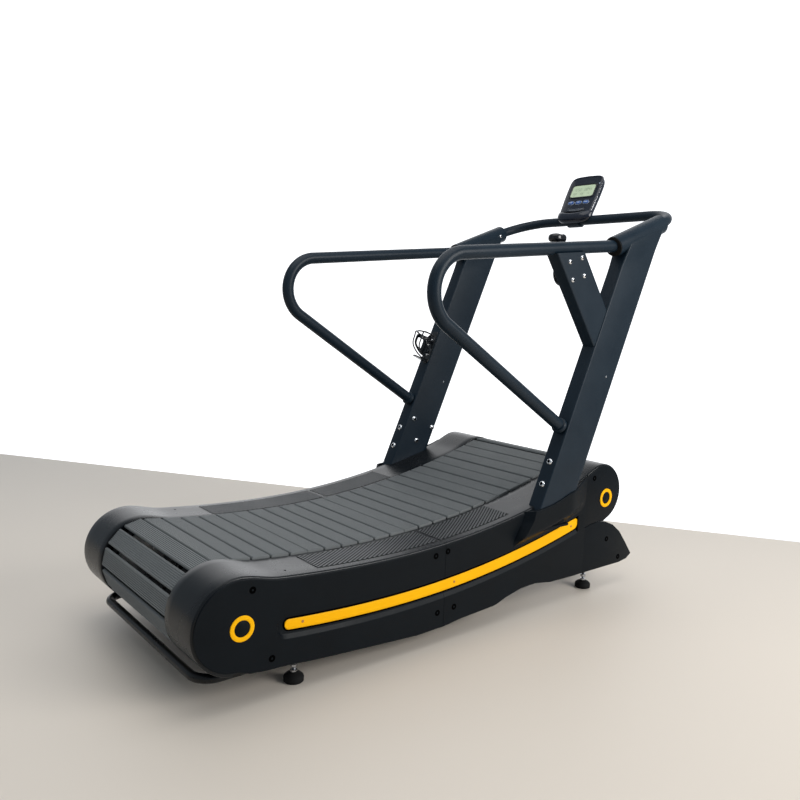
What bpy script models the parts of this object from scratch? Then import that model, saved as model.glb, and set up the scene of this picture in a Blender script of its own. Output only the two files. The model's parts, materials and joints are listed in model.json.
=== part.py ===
"""Curved manual treadmill: frame, running belt, uprights, handrails, covers and console.

Units are metres, +Z is up, +X is the runner's right and +Y is the way the runner faces.
Every size is given in the deck frame, whose Y = 0 is near the middle of the deck; add_object
moves each piece back by MID_Y, so that the origin lies on the floor under the middle of the
whole machine.
"""
import math

import bmesh
import bpy
from mathutils import Matrix, Vector

# ------------------------------------------------------------------ driving dimensions
GAP = 0.0003                    # clearance between pieces that touch
MID_Y = 0.1825                  # deck-frame Y of the middle of the machine

# running belt
SLAT_PITCH = 0.060
BELT_HALF_WIDTH = 0.236
BELT_THICKNESS = 0.022
LOW_Y = -0.230                  # lowest point of the running surface
LOW_Z = 0.3148
CURVE_FRONT = 0.1745            # rise of the surface ahead of the low point, 1/m
CURVE_REAR = 0.130
FRONT_TANGENT_Y = 0.700         # where the surface meets the front drum
REAR_TANGENT_Y = -0.703
FRONT_BELT_RADIUS = 0.103
REAR_BELT_RADIUS = 0.125

# covers
COVER_PROUD = 0.004             # how far the end caps stand outside the belt
DECK_DROP = 0.006               # how far the side decks lie below the belt
DECK_INNER_X = 0.245
PANEL_INNER_X = 0.392
PANEL_X = 0.404                 # outer face of the rear side panels
SADDLE_X = 0.434                # outer face around the upright's foot
SHELL = 0.004
SEAM_Y = -0.030
STRIPE_REAR_Y = -0.590
STRIPE_FRONT_Y = 0.606
STRIPE_HALF = 0.0165
CHANNEL_HALF = 0.028

# chassis
PLATE_X = 0.252
PLATE_THICKNESS = 0.006
RAIL_X = 0.325
RAIL_WIDTH = 0.040
RAIL_LOW_Z = 0.115
RAIL_HEIGHT = 0.060
RAIL_WALL = 0.003
RAIL_REAR_Y = -0.660
RAIL_FRONT_Y = 0.800
CROSS_SIZE = 0.040
SHAFT_RADIUS = 0.0125
ROLLER_RADIUS = 0.016
ROLLER_PIN_RADIUS = 0.006
ROLLER_STATIONS = (-0.56, -0.30, -0.04, 0.22, 0.48)
FOOT_X = 0.345
FOOT_STATIONS = {"rear": -0.525, "front": 0.735}

# uprights and handrails
SIDE_X = 0.400                  # centre plane of each upright and handrail
UPRIGHT_DEPTH = 0.168
UPRIGHT_WIDTH = 0.050
UPRIGHT_WALL = 0.003
UPRIGHT_LEAN = math.radians(23.9)
UPRIGHT_REAR = Vector((0.0, 0.380, 0.400))      # a point on the rear face
UPRIGHT_FOOT_Z = 0.298
SLEEVE_START = Vector((0.0, 0.7093, 1.2460))
SLEEVE_SLOPE = math.radians(19.9)
SLEEVE_LENGTH = 0.285
SLEEVE_RADIUS = 0.035
SLEEVE_BORE = 0.0325
HANDRAIL_RADIUS = 0.021
HANDRAIL_BEND = 0.114
HANDRAIL_SLOPE = math.atan(0.090)
CROSSBAR_RADIUS = 0.019
CROSSBAR_BEND = 0.152

# resistance lever and console
LEVER_PIVOT = Vector((0.0, 0.487, 1.145))
CONSOLE_TILT = math.radians(27.0)
CONSOLE_FOOT = Vector((-0.105, 1.0885, 1.394))
CONSOLE_WIDTH = 0.156
CONSOLE_HEIGHT = 0.205

PARTS = None
CUTTERS = None
FINISHES = {}


# ------------------------------------------------------------------ scene and helpers
def start_scene():
    """Empty the file and make the two collections and the finishes."""
    global PARTS, CUTTERS
    for obj in list(bpy.data.objects):
        bpy.data.objects.remove(obj, do_unlink=True)
    PARTS = bpy.data.collections.new("curved_manual_treadmill")
    CUTTERS = bpy.data.collections.new("cutters")
    bpy.context.scene.collection.children.link(PARTS)
    bpy.context.scene.collection.children.link(CUTTERS)
    make_finish("charcoal_paint", (0.035, 0.045, 0.060), 0.45, 0.3)
    make_finish("black_plastic", (0.018, 0.019, 0.021), 0.40, 0.0)
    make_finish("deck_grey", (0.060, 0.065, 0.070), 0.55, 0.0)
    make_finish("slat_rubber", (0.045, 0.050, 0.055), 0.80, 0.0)
    make_finish("yellow_trim", (0.95, 0.55, 0.01), 0.35, 0.0)
    make_finish("steel", (0.55, 0.56, 0.58), 0.30, 1.0)
    make_finish("black_rubber", (0.012, 0.012, 0.012), 0.85, 0.0)
    make_finish("gloss_black", (0.010, 0.011, 0.014), 0.12, 0.0)
    make_finish("lcd_glass", (0.52, 0.62, 0.45), 0.20, 0.0)
    make_finish("button_blue", (0.05, 0.16, 0.50), 0.35, 0.0)


def make_finish(name, colour, roughness, metallic):
    """Store one Principled material under its name."""
    material = bpy.data.materials.new(name)
    material.use_nodes = True
    shader = material.node_tree.nodes["Principled BSDF"]
    shader.inputs["Base Color"].default_value = (*colour, 1.0)
    shader.inputs["Roughness"].default_value = roughness
    shader.inputs["Metallic"].default_value = metallic
    FINISHES[name] = material


def add_object(name, mesh, finish, location=(0.0, 0.0, 0.0), rotation=None):
    """Put a mesh in the scene at a place given in the deck frame."""
    obj = bpy.data.objects.new(name, mesh)
    place = Matrix.Translation(Vector(location) - Vector((0.0, MID_Y, 0.0)))
    if rotation is not None:
        place = place @ rotation.to_4x4()
    obj.matrix_world = place
    if finish is None:
        CUTTERS.objects.link(obj)
        obj.hide_render = True
        obj.display_type = "WIRE"
    else:
        PARTS.objects.link(obj)
        own = FINISHES[finish].copy()
        own.name = name + "_" + finish
        mesh.materials.clear()
        mesh.materials.append(own)
    return obj


def mesh_from(build, smooth=True):
    """Run build(bm) on a new bmesh and return its mesh."""
    bm = bmesh.new()
    build(bm)
    mesh = bpy.data.meshes.new("mesh")
    bm.to_mesh(mesh)
    bm.free()
    if smooth:
        mesh.shade_smooth()
        mesh.set_sharp_from_angle(angle=math.radians(35.0))
    return mesh


def outline_mesh(loops, thickness):
    """Solid plate in local XY, thickness centred on Z; inner loops are holes."""
    curve = bpy.data.curves.new("outline", "CURVE")
    curve.dimensions = "2D"
    curve.fill_mode = "BOTH"
    curve.extrude = thickness / 2.0
    for loop in loops:
        spline = curve.splines.new("POLY")
        spline.points.add(len(loop) - 1)
        for point, (u, v) in zip(spline.points, loop):
            point.co = (u, v, 0.0, 1.0)
        spline.use_cyclic_u = True
    return curve_to_mesh(curve)


def curve_to_mesh(curve):
    """Turn a curve into a closed mesh with its caps welded on."""
    holder = bpy.data.objects.new("holder", curve)
    bpy.context.scene.collection.objects.link(holder)
    graph = bpy.context.evaluated_depsgraph_get()
    mesh = bpy.data.meshes.new_from_object(holder.evaluated_get(graph))
    bpy.data.objects.remove(holder, do_unlink=True)
    bm = bmesh.new()
    bm.from_mesh(mesh)
    bmesh.ops.remove_doubles(bm, verts=bm.verts, dist=0.00005)
    bmesh.ops.recalc_face_normals(bm, faces=bm.faces)
    bm.to_mesh(mesh)
    bm.free()
    mesh.shade_smooth()
    mesh.set_sharp_from_angle(angle=math.radians(35.0))
    return mesh


SIDE_VIEW = Matrix(((0.0, 0.0, 1.0), (1.0, 0.0, 0.0), (0.0, 1.0, 0.0)))    # local XY to world YZ


def side_plate(name, loops, low_x, high_x, finish):
    """Plate drawn in the side view (Y, Z) between two X planes."""
    mesh = outline_mesh(loops, high_x - low_x)
    return add_object(name, mesh, finish, ((low_x + high_x) / 2.0, 0.0, 0.0), SIDE_VIEW)


def box(name, low, high, finish):
    """Box between two corners."""
    low = Vector(low)
    high = Vector(high)

    def build(bm):
        bmesh.ops.create_cube(bm, size=1.0)
        bmesh.ops.scale(bm, vec=high - low, verts=bm.verts)

    return add_object(name, mesh_from(build, smooth=False), finish, (low + high) / 2.0)


def rod(name, start, end, radius, finish, sides=24):
    """Cylinder between two points."""
    start = Vector(start)
    end = Vector(end)

    def build(bm):
        bmesh.ops.create_cone(bm, cap_ends=True, segments=sides, radius1=radius, radius2=radius,
                              depth=(end - start).length)

    turn = Vector((0.0, 0.0, 1.0)).rotation_difference(end - start).to_matrix()
    return add_object(name, mesh_from(build), finish, (start + end) / 2.0, turn)


def turned(name, profile, place, direction, finish, sides=32):
    """Turned piece from a closed (radius, height) profile, its axis along direction."""
    def build(bm):
        ring = [bm.verts.new((radius, 0.0, height)) for radius, height in profile]
        edges = [bm.edges.new((ring[i], ring[(i + 1) % len(ring)])) for i in range(len(ring))]
        bmesh.ops.spin(bm, geom=ring + edges, cent=(0.0, 0.0, 0.0), axis=(0.0, 0.0, 1.0),
                       angle=math.tau, steps=sides, use_merge=True)
        bmesh.ops.remove_doubles(bm, verts=bm.verts, dist=0.00005)
        bmesh.ops.recalc_face_normals(bm, faces=bm.faces)

    turn = Vector((0.0, 0.0, 1.0)).rotation_difference(Vector(direction)).to_matrix()
    return add_object(name, mesh_from(build), finish, place, turn)


def tube_mesh(path, radius, resolution=4):
    """Round bar along a list of points, with filled ends."""
    curve = bpy.data.curves.new("bar", "CURVE")
    curve.dimensions = "3D"
    curve.bevel_depth = radius
    curve.bevel_resolution = resolution
    curve.use_fill_caps = True
    spline = curve.splines.new("POLY")
    spline.points.add(len(path) - 1)
    for point, place in zip(spline.points, path):
        point.co = (*place, 1.0)
    return curve_to_mesh(curve)


def boolean(target, tool, operation):
    """Cut or join a target with a tool that is kept among the cutters."""
    if tool.name in PARTS.objects:
        PARTS.objects.unlink(tool)
        CUTTERS.objects.link(tool)
        tool.hide_render = True
        tool.display_type = "WIRE"
    modifier = target.modifiers.new(operation.lower() + "_" + tool.name, "BOOLEAN")
    modifier.operation = operation
    modifier.object = tool
    return target


def cut(target, tool):
    return boolean(target, tool, "DIFFERENCE")


def join(target, tool):
    return boolean(target, tool, "UNION")


def rounded_path(points, radii, step=math.radians(12.0)):
    """Polyline through points, with an arc of the given radius at each inner point."""
    points = [Vector(p) for p in points]
    path = [points[0]]
    for before, corner, after, radius in zip(points, points[1:], points[2:], radii):
        to_start = (before - corner).normalized()
        to_end = (after - corner).normalized()
        half = to_start.angle(to_end) / 2.0
        centre = corner + (to_start + to_end).normalized() * (radius / math.sin(half))
        first = (corner + to_start * (radius / math.tan(half)) - centre).normalized()
        sweep = math.pi - 2.0 * half
        count = max(2, round(sweep / step))
        for i in range(count + 1):
            angle = sweep * i / count
            path.append(centre + (first * math.cos(angle) - to_start * math.sin(angle)) * radius)
    path.append(points[-1])
    return path


def rounded_rectangle(width, height, radius, centre=(0.0, 0.0), steps=4):
    """Corner points of a rounded rectangle, anticlockwise."""
    points = []
    for quarter, (sx, sy) in enumerate(((1, 1), (-1, 1), (-1, -1), (1, -1))):
        cx = centre[0] + sx * (width / 2.0 - radius)
        cy = centre[1] + sy * (height / 2.0 - radius)
        for i in range(steps + 1):
            angle = math.radians(90.0 * (quarter + i / steps))
            points.append((cx + radius * math.cos(angle), cy + radius * math.sin(angle)))
    return points


def both_sides():
    """Side names with the sign of their X."""
    return (("right", 1.0), ("left", -1.0))


def mirror_copy(source, name, finish):
    """Left-hand copy of a finished right-hand piece."""
    graph = bpy.context.evaluated_depsgraph_get()
    mesh = bpy.data.meshes.new_from_object(source.evaluated_get(graph))
    mesh.transform(Matrix.Translation((0.0, MID_Y, 0.0)) @ source.matrix_world)
    bm = bmesh.new()
    bm.from_mesh(mesh)
    bmesh.ops.scale(bm, vec=(-1.0, 1.0, 1.0), verts=bm.verts)
    bmesh.ops.reverse_faces(bm, faces=bm.faces)
    bm.to_mesh(mesh)
    bm.free()
    return add_object(name, mesh, finish)


# ------------------------------------------------------------------ belt geometry
def smooth_step(value):
    """0 below 0, 1 above 1, smooth between."""
    value = min(1.0, max(0.0, value))
    return value * value * (3.0 - 2.0 * value)


def run_curve(y):
    return CURVE_FRONT if y > LOW_Y else CURVE_REAR


def run_height(y):
    """Height of the running surface."""
    return LOW_Z + run_curve(y) * (y - LOW_Y) ** 2


def run_slope(y):
    return 2.0 * run_curve(y) * (y - LOW_Y)


def drum_axis(tangent_y, radius):
    """Centre of the drum that the running surface meets at tangent_y."""
    angle = math.atan(run_slope(tangent_y))
    return (tangent_y + radius * math.sin(angle), run_height(tangent_y) - radius * math.cos(angle))


FRONT_AXIS = drum_axis(FRONT_TANGENT_Y, FRONT_BELT_RADIUS)
REAR_AXIS = drum_axis(REAR_TANGENT_Y, REAR_BELT_RADIUS)


def return_run():
    """Rise factor and front tangent angle of the slack lower run of the belt."""
    start_y = REAR_AXIS[0]
    start_z = REAR_AXIS[1] - REAR_BELT_RADIUS
    angle = 0.2
    for _ in range(30):
        end_y = FRONT_AXIS[0] + FRONT_BELT_RADIUS * math.sin(angle)
        end_z = FRONT_AXIS[1] - FRONT_BELT_RADIUS * math.cos(angle)
        angle = math.atan(2.0 * (end_z - start_z) / (end_y - start_y))
    return (end_z - start_z) / (end_y - start_y) ** 2, angle


RETURN_RISE, RETURN_ANGLE = return_run()


def return_height(y):
    """Height of the underside of the belt's lower run."""
    return REAR_AXIS[1] - REAR_BELT_RADIUS + RETURN_RISE * (y - REAR_AXIS[0]) ** 2


def belt_loop(inset, count):
    """Closed loop of points along the belt, inset from its outer face, evenly spaced."""
    dense = []
    fine = 200
    for i in range(fine):
        y = REAR_TANGENT_Y + (FRONT_TANGENT_Y - REAR_TANGENT_Y) * i / fine
        angle = math.atan(run_slope(y))
        dense.append((y + inset * math.sin(angle), run_height(y) - inset * math.cos(angle)))
    start = math.pi / 2.0 + math.atan(run_slope(FRONT_TANGENT_Y))
    end = -math.pi / 2.0 + RETURN_ANGLE
    radius = FRONT_BELT_RADIUS - inset
    for i in range(fine):
        angle = start + (end - start) * i / fine
        dense.append((FRONT_AXIS[0] + radius * math.cos(angle), FRONT_AXIS[1] + radius * math.sin(angle)))
    end_y = FRONT_AXIS[0] + FRONT_BELT_RADIUS * math.sin(RETURN_ANGLE)
    for i in range(fine):
        y = end_y + (REAR_AXIS[0] - end_y) * i / fine
        angle = math.atan(2.0 * RETURN_RISE * (y - REAR_AXIS[0]))
        dense.append((y - inset * math.sin(angle), return_height(y) + inset * math.cos(angle)))
    start = -math.pi / 2.0
    end = -math.pi * 1.5 + math.atan(run_slope(REAR_TANGENT_Y))
    radius = REAR_BELT_RADIUS - inset
    for i in range(fine):
        angle = start + (end - start) * i / fine
        dense.append((REAR_AXIS[0] + radius * math.cos(angle), REAR_AXIS[1] + radius * math.sin(angle)))
    return even_points(dense, count)


def even_points(points, count):
    """Points at equal steps along a closed polyline; count 0 gives one per slat."""
    points = [Vector(p) for p in points]
    spans = [(points[(i + 1) % len(points)] - points[i]).length for i in range(len(points))]
    total = sum(spans)
    if count == 0:
        count = round(total / SLAT_PITCH)
    result = []
    travelled = 0.0
    index = 0
    for i in range(count):
        target = total * i / count
        while travelled + spans[index] < target:
            travelled += spans[index]
            index += 1
        after = points[(index + 1) % len(points)]
        part = points[index].lerp(after, (target - travelled) / spans[index])
        result.append((part.x, part.y))
    return result


# ------------------------------------------------------------------ cover geometry
def deck_height(y):
    """Top of the side decks: below the belt along the run, above it over the drums."""
    rear = smooth_step((-0.600 - y) / 0.100)
    front = smooth_step((y - 0.600) / 0.100)
    return run_height(y) - DECK_DROP + (DECK_DROP + COVER_PROUD) * max(rear, front)


def stripe_height(y):
    """Centre line of the coloured stripe."""
    return 0.1760 + 0.1500 * max(0.0, y + 0.230) ** 2 + 0.1300 * min(0.0, y + 0.230) ** 2


def lower_edge():
    """Bottom edge of the front side panel, from the seam to the tip of the fin."""
    return [(SEAM_Y + GAP, 0.050), (0.044, 0.058), (0.199, 0.066), (0.248, 0.082), (0.318, 0.097),
            (0.391, 0.100), (0.468, 0.088), (0.577, 0.085), (0.860, 0.086), (0.905, 0.092), (0.930, 0.109)]


def arc(centre, radius, start, end, count):
    """Points of an arc in the side view, angles in degrees from +Y towards +Z."""
    points = []
    for i in range(count + 1):
        angle = math.radians(start + (end - start) * i / count)
        points.append((centre[0] + radius * math.cos(angle), centre[1] + radius * math.sin(angle)))
    return points


def band(low, high, first_y, last_y, count):
    """Closed strip between two height functions."""
    stations = [first_y + (last_y - first_y) * i / count for i in range(count + 1)]
    return [(y, low(y)) for y in stations] + [(y, high(y)) for y in reversed(stations)]


def channel_loop(half, rear_y, front_y, rear_round=True, front_round=True):
    """Long slot that follows the stripe's centre line."""
    count = 22
    stations = [rear_y + (front_y - rear_y) * i / count for i in range(count + 1)]
    top = [(y, stripe_height(y) + half) for y in stations]
    bottom = [(y, stripe_height(y) - half) for y in reversed(stations)]
    loop = list(top)
    if front_round:
        loop += arc((front_y, stripe_height(front_y)), half, 60.0, -60.0, 4)
    loop += bottom
    if rear_round:
        loop += arc((rear_y, stripe_height(rear_y)), half, 240.0, 120.0, 4)
    return loop


# ------------------------------------------------------------------ chassis
CROSS_TUBES = {"rear": (-0.480, 0.205), "middle": (-0.100, 0.215), "front": (0.500, 0.285)}


def build_chassis():
    """Welded frame and the two curved plates that carry the running gear."""
    plate = guide_plate()
    mirror_copy(plate, "guide_plate_left", "charcoal_paint")
    frame = frame_side()
    join(frame, mirror_copy(frame, "frame_side_left", None))
    for name, (y, z) in CROSS_TUBES.items():
        tube = [rounded_rectangle(CROSS_SIZE, CROSS_SIZE, 0.005, (y, z), 2),
                rounded_rectangle(CROSS_SIZE - 0.006, CROSS_SIZE - 0.006, 0.003, (y, z), 2)]
        reach = RAIL_X + RAIL_WALL / 2.0
        join(frame, side_plate("cross_tube_" + name, tube, -reach, reach, None))
        cut(frame, rod("drain_hole_" + name, (0.0, y, z - 0.03), (0.0, y, z - 0.01), 0.005, None, 12))
        for side, sign in both_sides():
            block = sorted((sign * (RAIL_X - 0.0005), sign * (RAIL_X + 0.0065)))
            post = [(y - 0.020, RAIL_LOW_Z + RAIL_HEIGHT - 0.001), (y + 0.020, RAIL_LOW_Z + RAIL_HEIGHT - 0.001),
                    (y + 0.020, z + 0.019), (y - 0.020, z + 0.019)]
            join(frame, side_plate("cross_post_%s_%s" % (name, side), [post], block[0], block[1], None))
    add_wheel_beam(frame)


def guide_plate():
    """Curved side plate that carries the guide rollers and both drum bearings."""
    top = [(y, run_height(y) - 0.0120) for y in (-0.60, -0.45, -0.30, -0.15, 0.0, 0.15, 0.30, 0.45, 0.60)]
    front_end = arc(FRONT_AXIS, 0.062, 80.0, -80.0, 6)
    rear_end = arc(REAR_AXIS, 0.062, 260.0, 100.0, 6)
    bottom = [(0.640, 0.260), (0.400, 0.200), (0.100, 0.172), (-0.300, 0.150), (-0.620, 0.140)]
    plate = side_plate("guide_plate_right", [top + front_end + bottom + rear_end], PLATE_X,
                       PLATE_X + PLATE_THICKNESS, "charcoal_paint")
    for number, (y, z) in enumerate(roller_axes()):
        cut(plate, rod("roller_hole_%d" % number, (0.2, y, z), (0.3, y, z), ROLLER_PIN_RADIUS + GAP, None, 16))
    for number, (y, z) in enumerate((FRONT_AXIS, REAR_AXIS)):
        cut(plate, rod("shaft_hole_%d" % number, (0.2, y, z), (0.3, y, z), SHAFT_RADIUS + 0.0015, None))
    for name, (y, z) in CROSS_TUBES.items():
        half = CROSS_SIZE / 2.0 + GAP
        cut(plate, box("window_" + name, (0.2, y - half, z - half), (0.3, y + half, z + half), None))
    flange = band(lambda v: deck_height(v) - SHELL - 0.0042, lambda v: deck_height(v) - SHELL - 0.0012,
                  -0.590, 0.590, 10)
    join(plate, side_plate("guide_flange", [flange], PLATE_X + 0.0005, PLATE_X + 0.028, None))
    y, z = CARRIER_PIVOT
    cut(plate, rod("carrier_hole", (0.2, y, z), (0.3, y, z), 0.005 + GAP, None, 16))
    return plate


def roller_axes():
    """Axis (Y, Z) of each guide roller, just below the belt's inner face."""
    axes = []
    for y in ROLLER_STATIONS:
        angle = math.atan(run_slope(y))
        depth = BELT_THICKNESS + ROLLER_RADIUS + 2.0 * GAP
        axes.append((y + depth * math.sin(angle), run_height(y) - depth * math.cos(angle)))
    return axes


def frame_side():
    """Right half of the frame: box rail, panel bosses and the stub that the upright slides over."""
    low_z = RAIL_LOW_Z
    high_z = RAIL_LOW_Z + RAIL_HEIGHT
    outer_x = RAIL_X + RAIL_WIDTH
    rail = box("frame_weldment", (RAIL_X, RAIL_REAR_Y, low_z), (outer_x, RAIL_FRONT_Y, high_z), "charcoal_paint")
    cut(rail, box("rail_hollow", (RAIL_X + RAIL_WALL, RAIL_REAR_Y - 0.01, low_z + RAIL_WALL),
                  (outer_x - RAIL_WALL, RAIL_FRONT_Y + 0.01, high_z - RAIL_WALL), None))
    web = [(0.250, high_z - 0.001), (0.600, high_z - 0.001), (0.540, 0.294), (0.340, 0.294)]
    join(rail, side_plate("upright_web", [web], outer_x - 0.008, outer_x - 0.0005, None))
    join(rail, box("upright_shelf", (outer_x - 0.009, 0.332, 0.290), (0.427, 0.5165, UPRIGHT_FOOT_Z - GAP), None))
    stub_loops = [oval_section(UPRIGHT_WIDTH - 0.007, UPRIGHT_DEPTH - 0.007, 0.0035),
                  oval_section(UPRIGHT_WIDTH - 0.013, UPRIGHT_DEPTH - 0.013, 0.0065)]
    join(rail, leaning_tube("upright_stub", stub_loops, level_plane(0.296), level_plane(0.540), None))
    for number, y in enumerate(BOSS_STATIONS):
        join(rail, rod("panel_boss_%d" % number, (outer_x - 0.0015, y, 0.140), (PANEL_INNER_X - GAP, y, 0.140),
                       0.009, None, 12))
    cut(rail, rod("web_cable_hole", (outer_x - 0.02, 0.499, 0.2515), (outer_x + 0.005, 0.499, 0.2515), 0.013,
                  None, 12))
    y, z = CABLE_EXIT
    cut(rail, rod("cable_hole", (CABLE_EXIT_X, y, z - 0.02), (CABLE_EXIT_X, y, z + 0.02), 0.0045, None, 12))
    return rail


def add_wheel_beam(frame):
    """Front cross beam with the two pairs of ears that carry the transport wheels."""
    rear_y = RAIL_FRONT_Y - 0.001
    reach = RAIL_X + RAIL_WIDTH - 0.0005
    join(frame, box("wheel_beam", (-reach, rear_y, 0.1255), (reach, rear_y + 0.030, 0.1605), None))
    y, z = WHEEL_AXIS
    for side, sign in both_sides():
        for offset in (-0.019, 0.019):
            x = sign * WHEEL_X + offset
            ear = [(y - 0.013, 0.130), (y + 0.012, 0.130), (y + 0.012, z), (y, z - 0.012), (y - 0.013, z)]
            join(frame, side_plate("wheel_ear_%s_%d" % (side, 1000 * offset), [ear], x - 0.002, x + 0.002, None))
        cut(frame, rod("wheel_pin_hole_" + side, (sign * WHEEL_X - 0.03, y, z), (sign * WHEEL_X + 0.03, y, z),
                       0.005 + GAP, None, 12))


BOSS_STATIONS = (-0.460, -0.120, 0.120, 0.700)
WHEEL_X = 0.200
WHEEL_AXIS = (0.816, 0.078)
CARRIER_PIVOT = (0.610, 0.330)


# ------------------------------------------------------------------ uprights
def lean_axis():
    """Unit vector up the upright."""
    return Vector((0.0, math.sin(UPRIGHT_LEAN), math.cos(UPRIGHT_LEAN)))


def lean_depth():
    """Unit vector from the upright's rear face towards its front, square to its axis."""
    return Vector((0.0, math.cos(UPRIGHT_LEAN), -math.sin(UPRIGHT_LEAN)))


def upright_rear_y(z):
    """Y of the rear face at a height."""
    return UPRIGHT_REAR.y + math.tan(UPRIGHT_LEAN) * (z - UPRIGHT_REAR.z)


def level_plane(z):
    """Horizontal plane as (point, normal)."""
    return (Vector((0.0, 0.0, z)), Vector((0.0, 0.0, 1.0)))


def oval_section(width, depth, inset):
    """D-shaped tube section: square rear corners and a full round front, as (x, depth) points."""
    radius = width / 2.0
    corner = 0.004
    points = []
    for angle in (180.0, 225.0, 270.0):
        points.append((-radius + corner + corner * math.cos(math.radians(angle)),
                       inset + corner + corner * math.sin(math.radians(angle))))
    for angle in (270.0, 315.0, 360.0):
        points.append((radius - corner + corner * math.cos(math.radians(angle)),
                       inset + corner + corner * math.sin(math.radians(angle))))
    for i in range(9):
        angle = math.pi * i / 8
        points.append((radius * math.cos(angle), inset + depth - radius + radius * math.sin(angle)))
    return points


def tube_between(name, loops, origin, axis, depth_axis, low_plane, high_plane, finish):
    """Straight tube whose two ends lie in two planes."""
    mesh = outline_mesh(loops, 1.0)
    for vert in mesh.vertices:
        start = origin + Vector((vert.co.x, 0.0, 0.0)) + depth_axis * vert.co.y
        point, normal = high_plane if vert.co.z > 0.0 else low_plane
        travel = (point - start).dot(normal) / axis.dot(normal)
        vert.co = start + axis * travel
    bm = bmesh.new()
    bm.from_mesh(mesh)
    bmesh.ops.recalc_face_normals(bm, faces=bm.faces)
    bm.to_mesh(mesh)
    bm.free()
    return add_object(name, mesh, finish)


def leaning_tube(name, loops, low_plane, high_plane, finish):
    """Tube along the right-hand upright's axis."""
    origin = Vector((SIDE_X, UPRIGHT_REAR.y, UPRIGHT_REAR.z))
    return tube_between(name, loops, origin, lean_axis(), lean_depth(), low_plane, high_plane, finish)


def sleeve_axis():
    """Unit vector along the sleeve, from its rear mouth to its front end."""
    return Vector((0.0, math.cos(SLEEVE_SLOPE), math.sin(SLEEVE_SLOPE)))


def build_uprights():
    """Uprights, top sleeves, handrails, the crossbar and the right-hand gusset arm."""
    side = Vector((SIDE_X, 0.0, 0.0))
    axis = sleeve_axis()
    up = Vector((0.0, -math.sin(SLEEVE_SLOPE), math.cos(SLEEVE_SLOPE)))
    top_plane = (SLEEVE_START - up * 0.006, up)
    loops = [oval_section(UPRIGHT_WIDTH, UPRIGHT_DEPTH, 0.0),
             oval_section(UPRIGHT_WIDTH - 2 * UPRIGHT_WALL, UPRIGHT_DEPTH - 2 * UPRIGHT_WALL, UPRIGHT_WALL)]
    start = SLEEVE_START + side
    bore = rod("sleeve_cutter", start - axis * 0.1, start + axis * 0.5, SLEEVE_RADIUS + GAP, None, 32)
    upright = cut(leaning_tube("upright_right", loops, level_plane(UPRIGHT_FOOT_Z), top_plane, "charcoal_paint"),
                  bore)
    mirror_copy(upright, "upright_left", "charcoal_paint")
    spot = Vector((SIDE_X, CABLE_ENTRY[0], CABLE_ENTRY[1]))
    reach = lean_depth() * 0.03
    cut(upright, rod("cable_entry_hole", spot - reach, spot + reach, 0.007, None, 12))
    for name, sign in both_sides():
        sleeve(name, sign, axis)
        handrail(name, sign)
        rail_bush(name, sign, axis)
    crossbar(axis)
    gusset_arm()


def sleeve(name, sign, axis):
    """Tube on top of the upright: wide bore for the handrail, reduced bore for the crossbar."""
    reduced = CROSSBAR_RADIUS + 0.0005
    step = SLEEVE_LENGTH - 0.035
    profile = [(SLEEVE_RADIUS, SLEEVE_LENGTH), (SLEEVE_RADIUS, 0.0), (SLEEVE_BORE, 0.0), (SLEEVE_BORE, step),
               (reduced, step), (reduced, SLEEVE_LENGTH)]
    place = SLEEVE_START + Vector((sign * SIDE_X, 0.0, 0.0))
    turned("sleeve_" + name, profile, place, axis, "charcoal_paint", 32)


def handrail_line():
    """Handrail centre line: sleeve end, virtual corner of the bend and the lower end."""
    slope = math.tan(HANDRAIL_SLOPE)
    upper = Vector((0.0, 0.752, 1.184 + slope * 0.752))
    corner = Vector((0.0, -0.342, 1.153))
    direction = Vector((0.0, 0.844, -0.536))
    normal = -lean_depth()
    reach = (UPRIGHT_REAR - corner).dot(normal) / direction.dot(normal)
    lower = corner + direction * (reach - 0.0042)
    return upper, corner, lower


def handrail(name, sign):
    """Bent tube from the sleeve, round the rear bend and down to its welded collar at the upright."""
    points = [p + Vector((sign * SIDE_X, 0.0, 0.0)) for p in handrail_line()]
    path = rounded_path(points, [HANDRAIL_BEND], math.radians(12.0))
    rail = add_object("handrail_" + name, tube_mesh(path, HANDRAIL_RADIUS, 4), "charcoal_paint")
    back = (points[1] - points[2]).normalized()
    join(rail, rod("rail_collar_" + name, points[2], points[2] + back * 0.018, 0.027, None, 24))


def rail_bush(name, sign, axis):
    """Plug that closes the sleeve's mouth round the handrail."""
    profile = [(0.0, 0.014), (SLEEVE_BORE - GAP, 0.014), (SLEEVE_BORE - GAP, -GAP), (SLEEVE_RADIUS - 0.001, -GAP),
               (SLEEVE_RADIUS - 0.002, -0.004), (0.0, -0.004)]
    place = SLEEVE_START + Vector((sign * SIDE_X, 0.0, 0.0))
    turn = Vector((0.0, 0.0, 1.0)).rotation_difference(axis).to_matrix()
    bush = spindle("rail_bush_" + name, profile, place, "black_plastic", 28)
    bush.matrix_world = Matrix.Translation(place - Vector((0.0, MID_Y, 0.0))) @ turn.to_4x4()
    upper, corner, _ = handrail_line()
    shift = Vector((sign * SIDE_X, 0.0, 0.0))
    start = upper + (corner - upper).normalized() * 0.2 + shift
    cut(bush, rod("bush_cutter_" + name, start, upper + (upper - corner).normalized() * 0.05 + shift,
                  HANDRAIL_RADIUS + GAP, None, 28))


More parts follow.
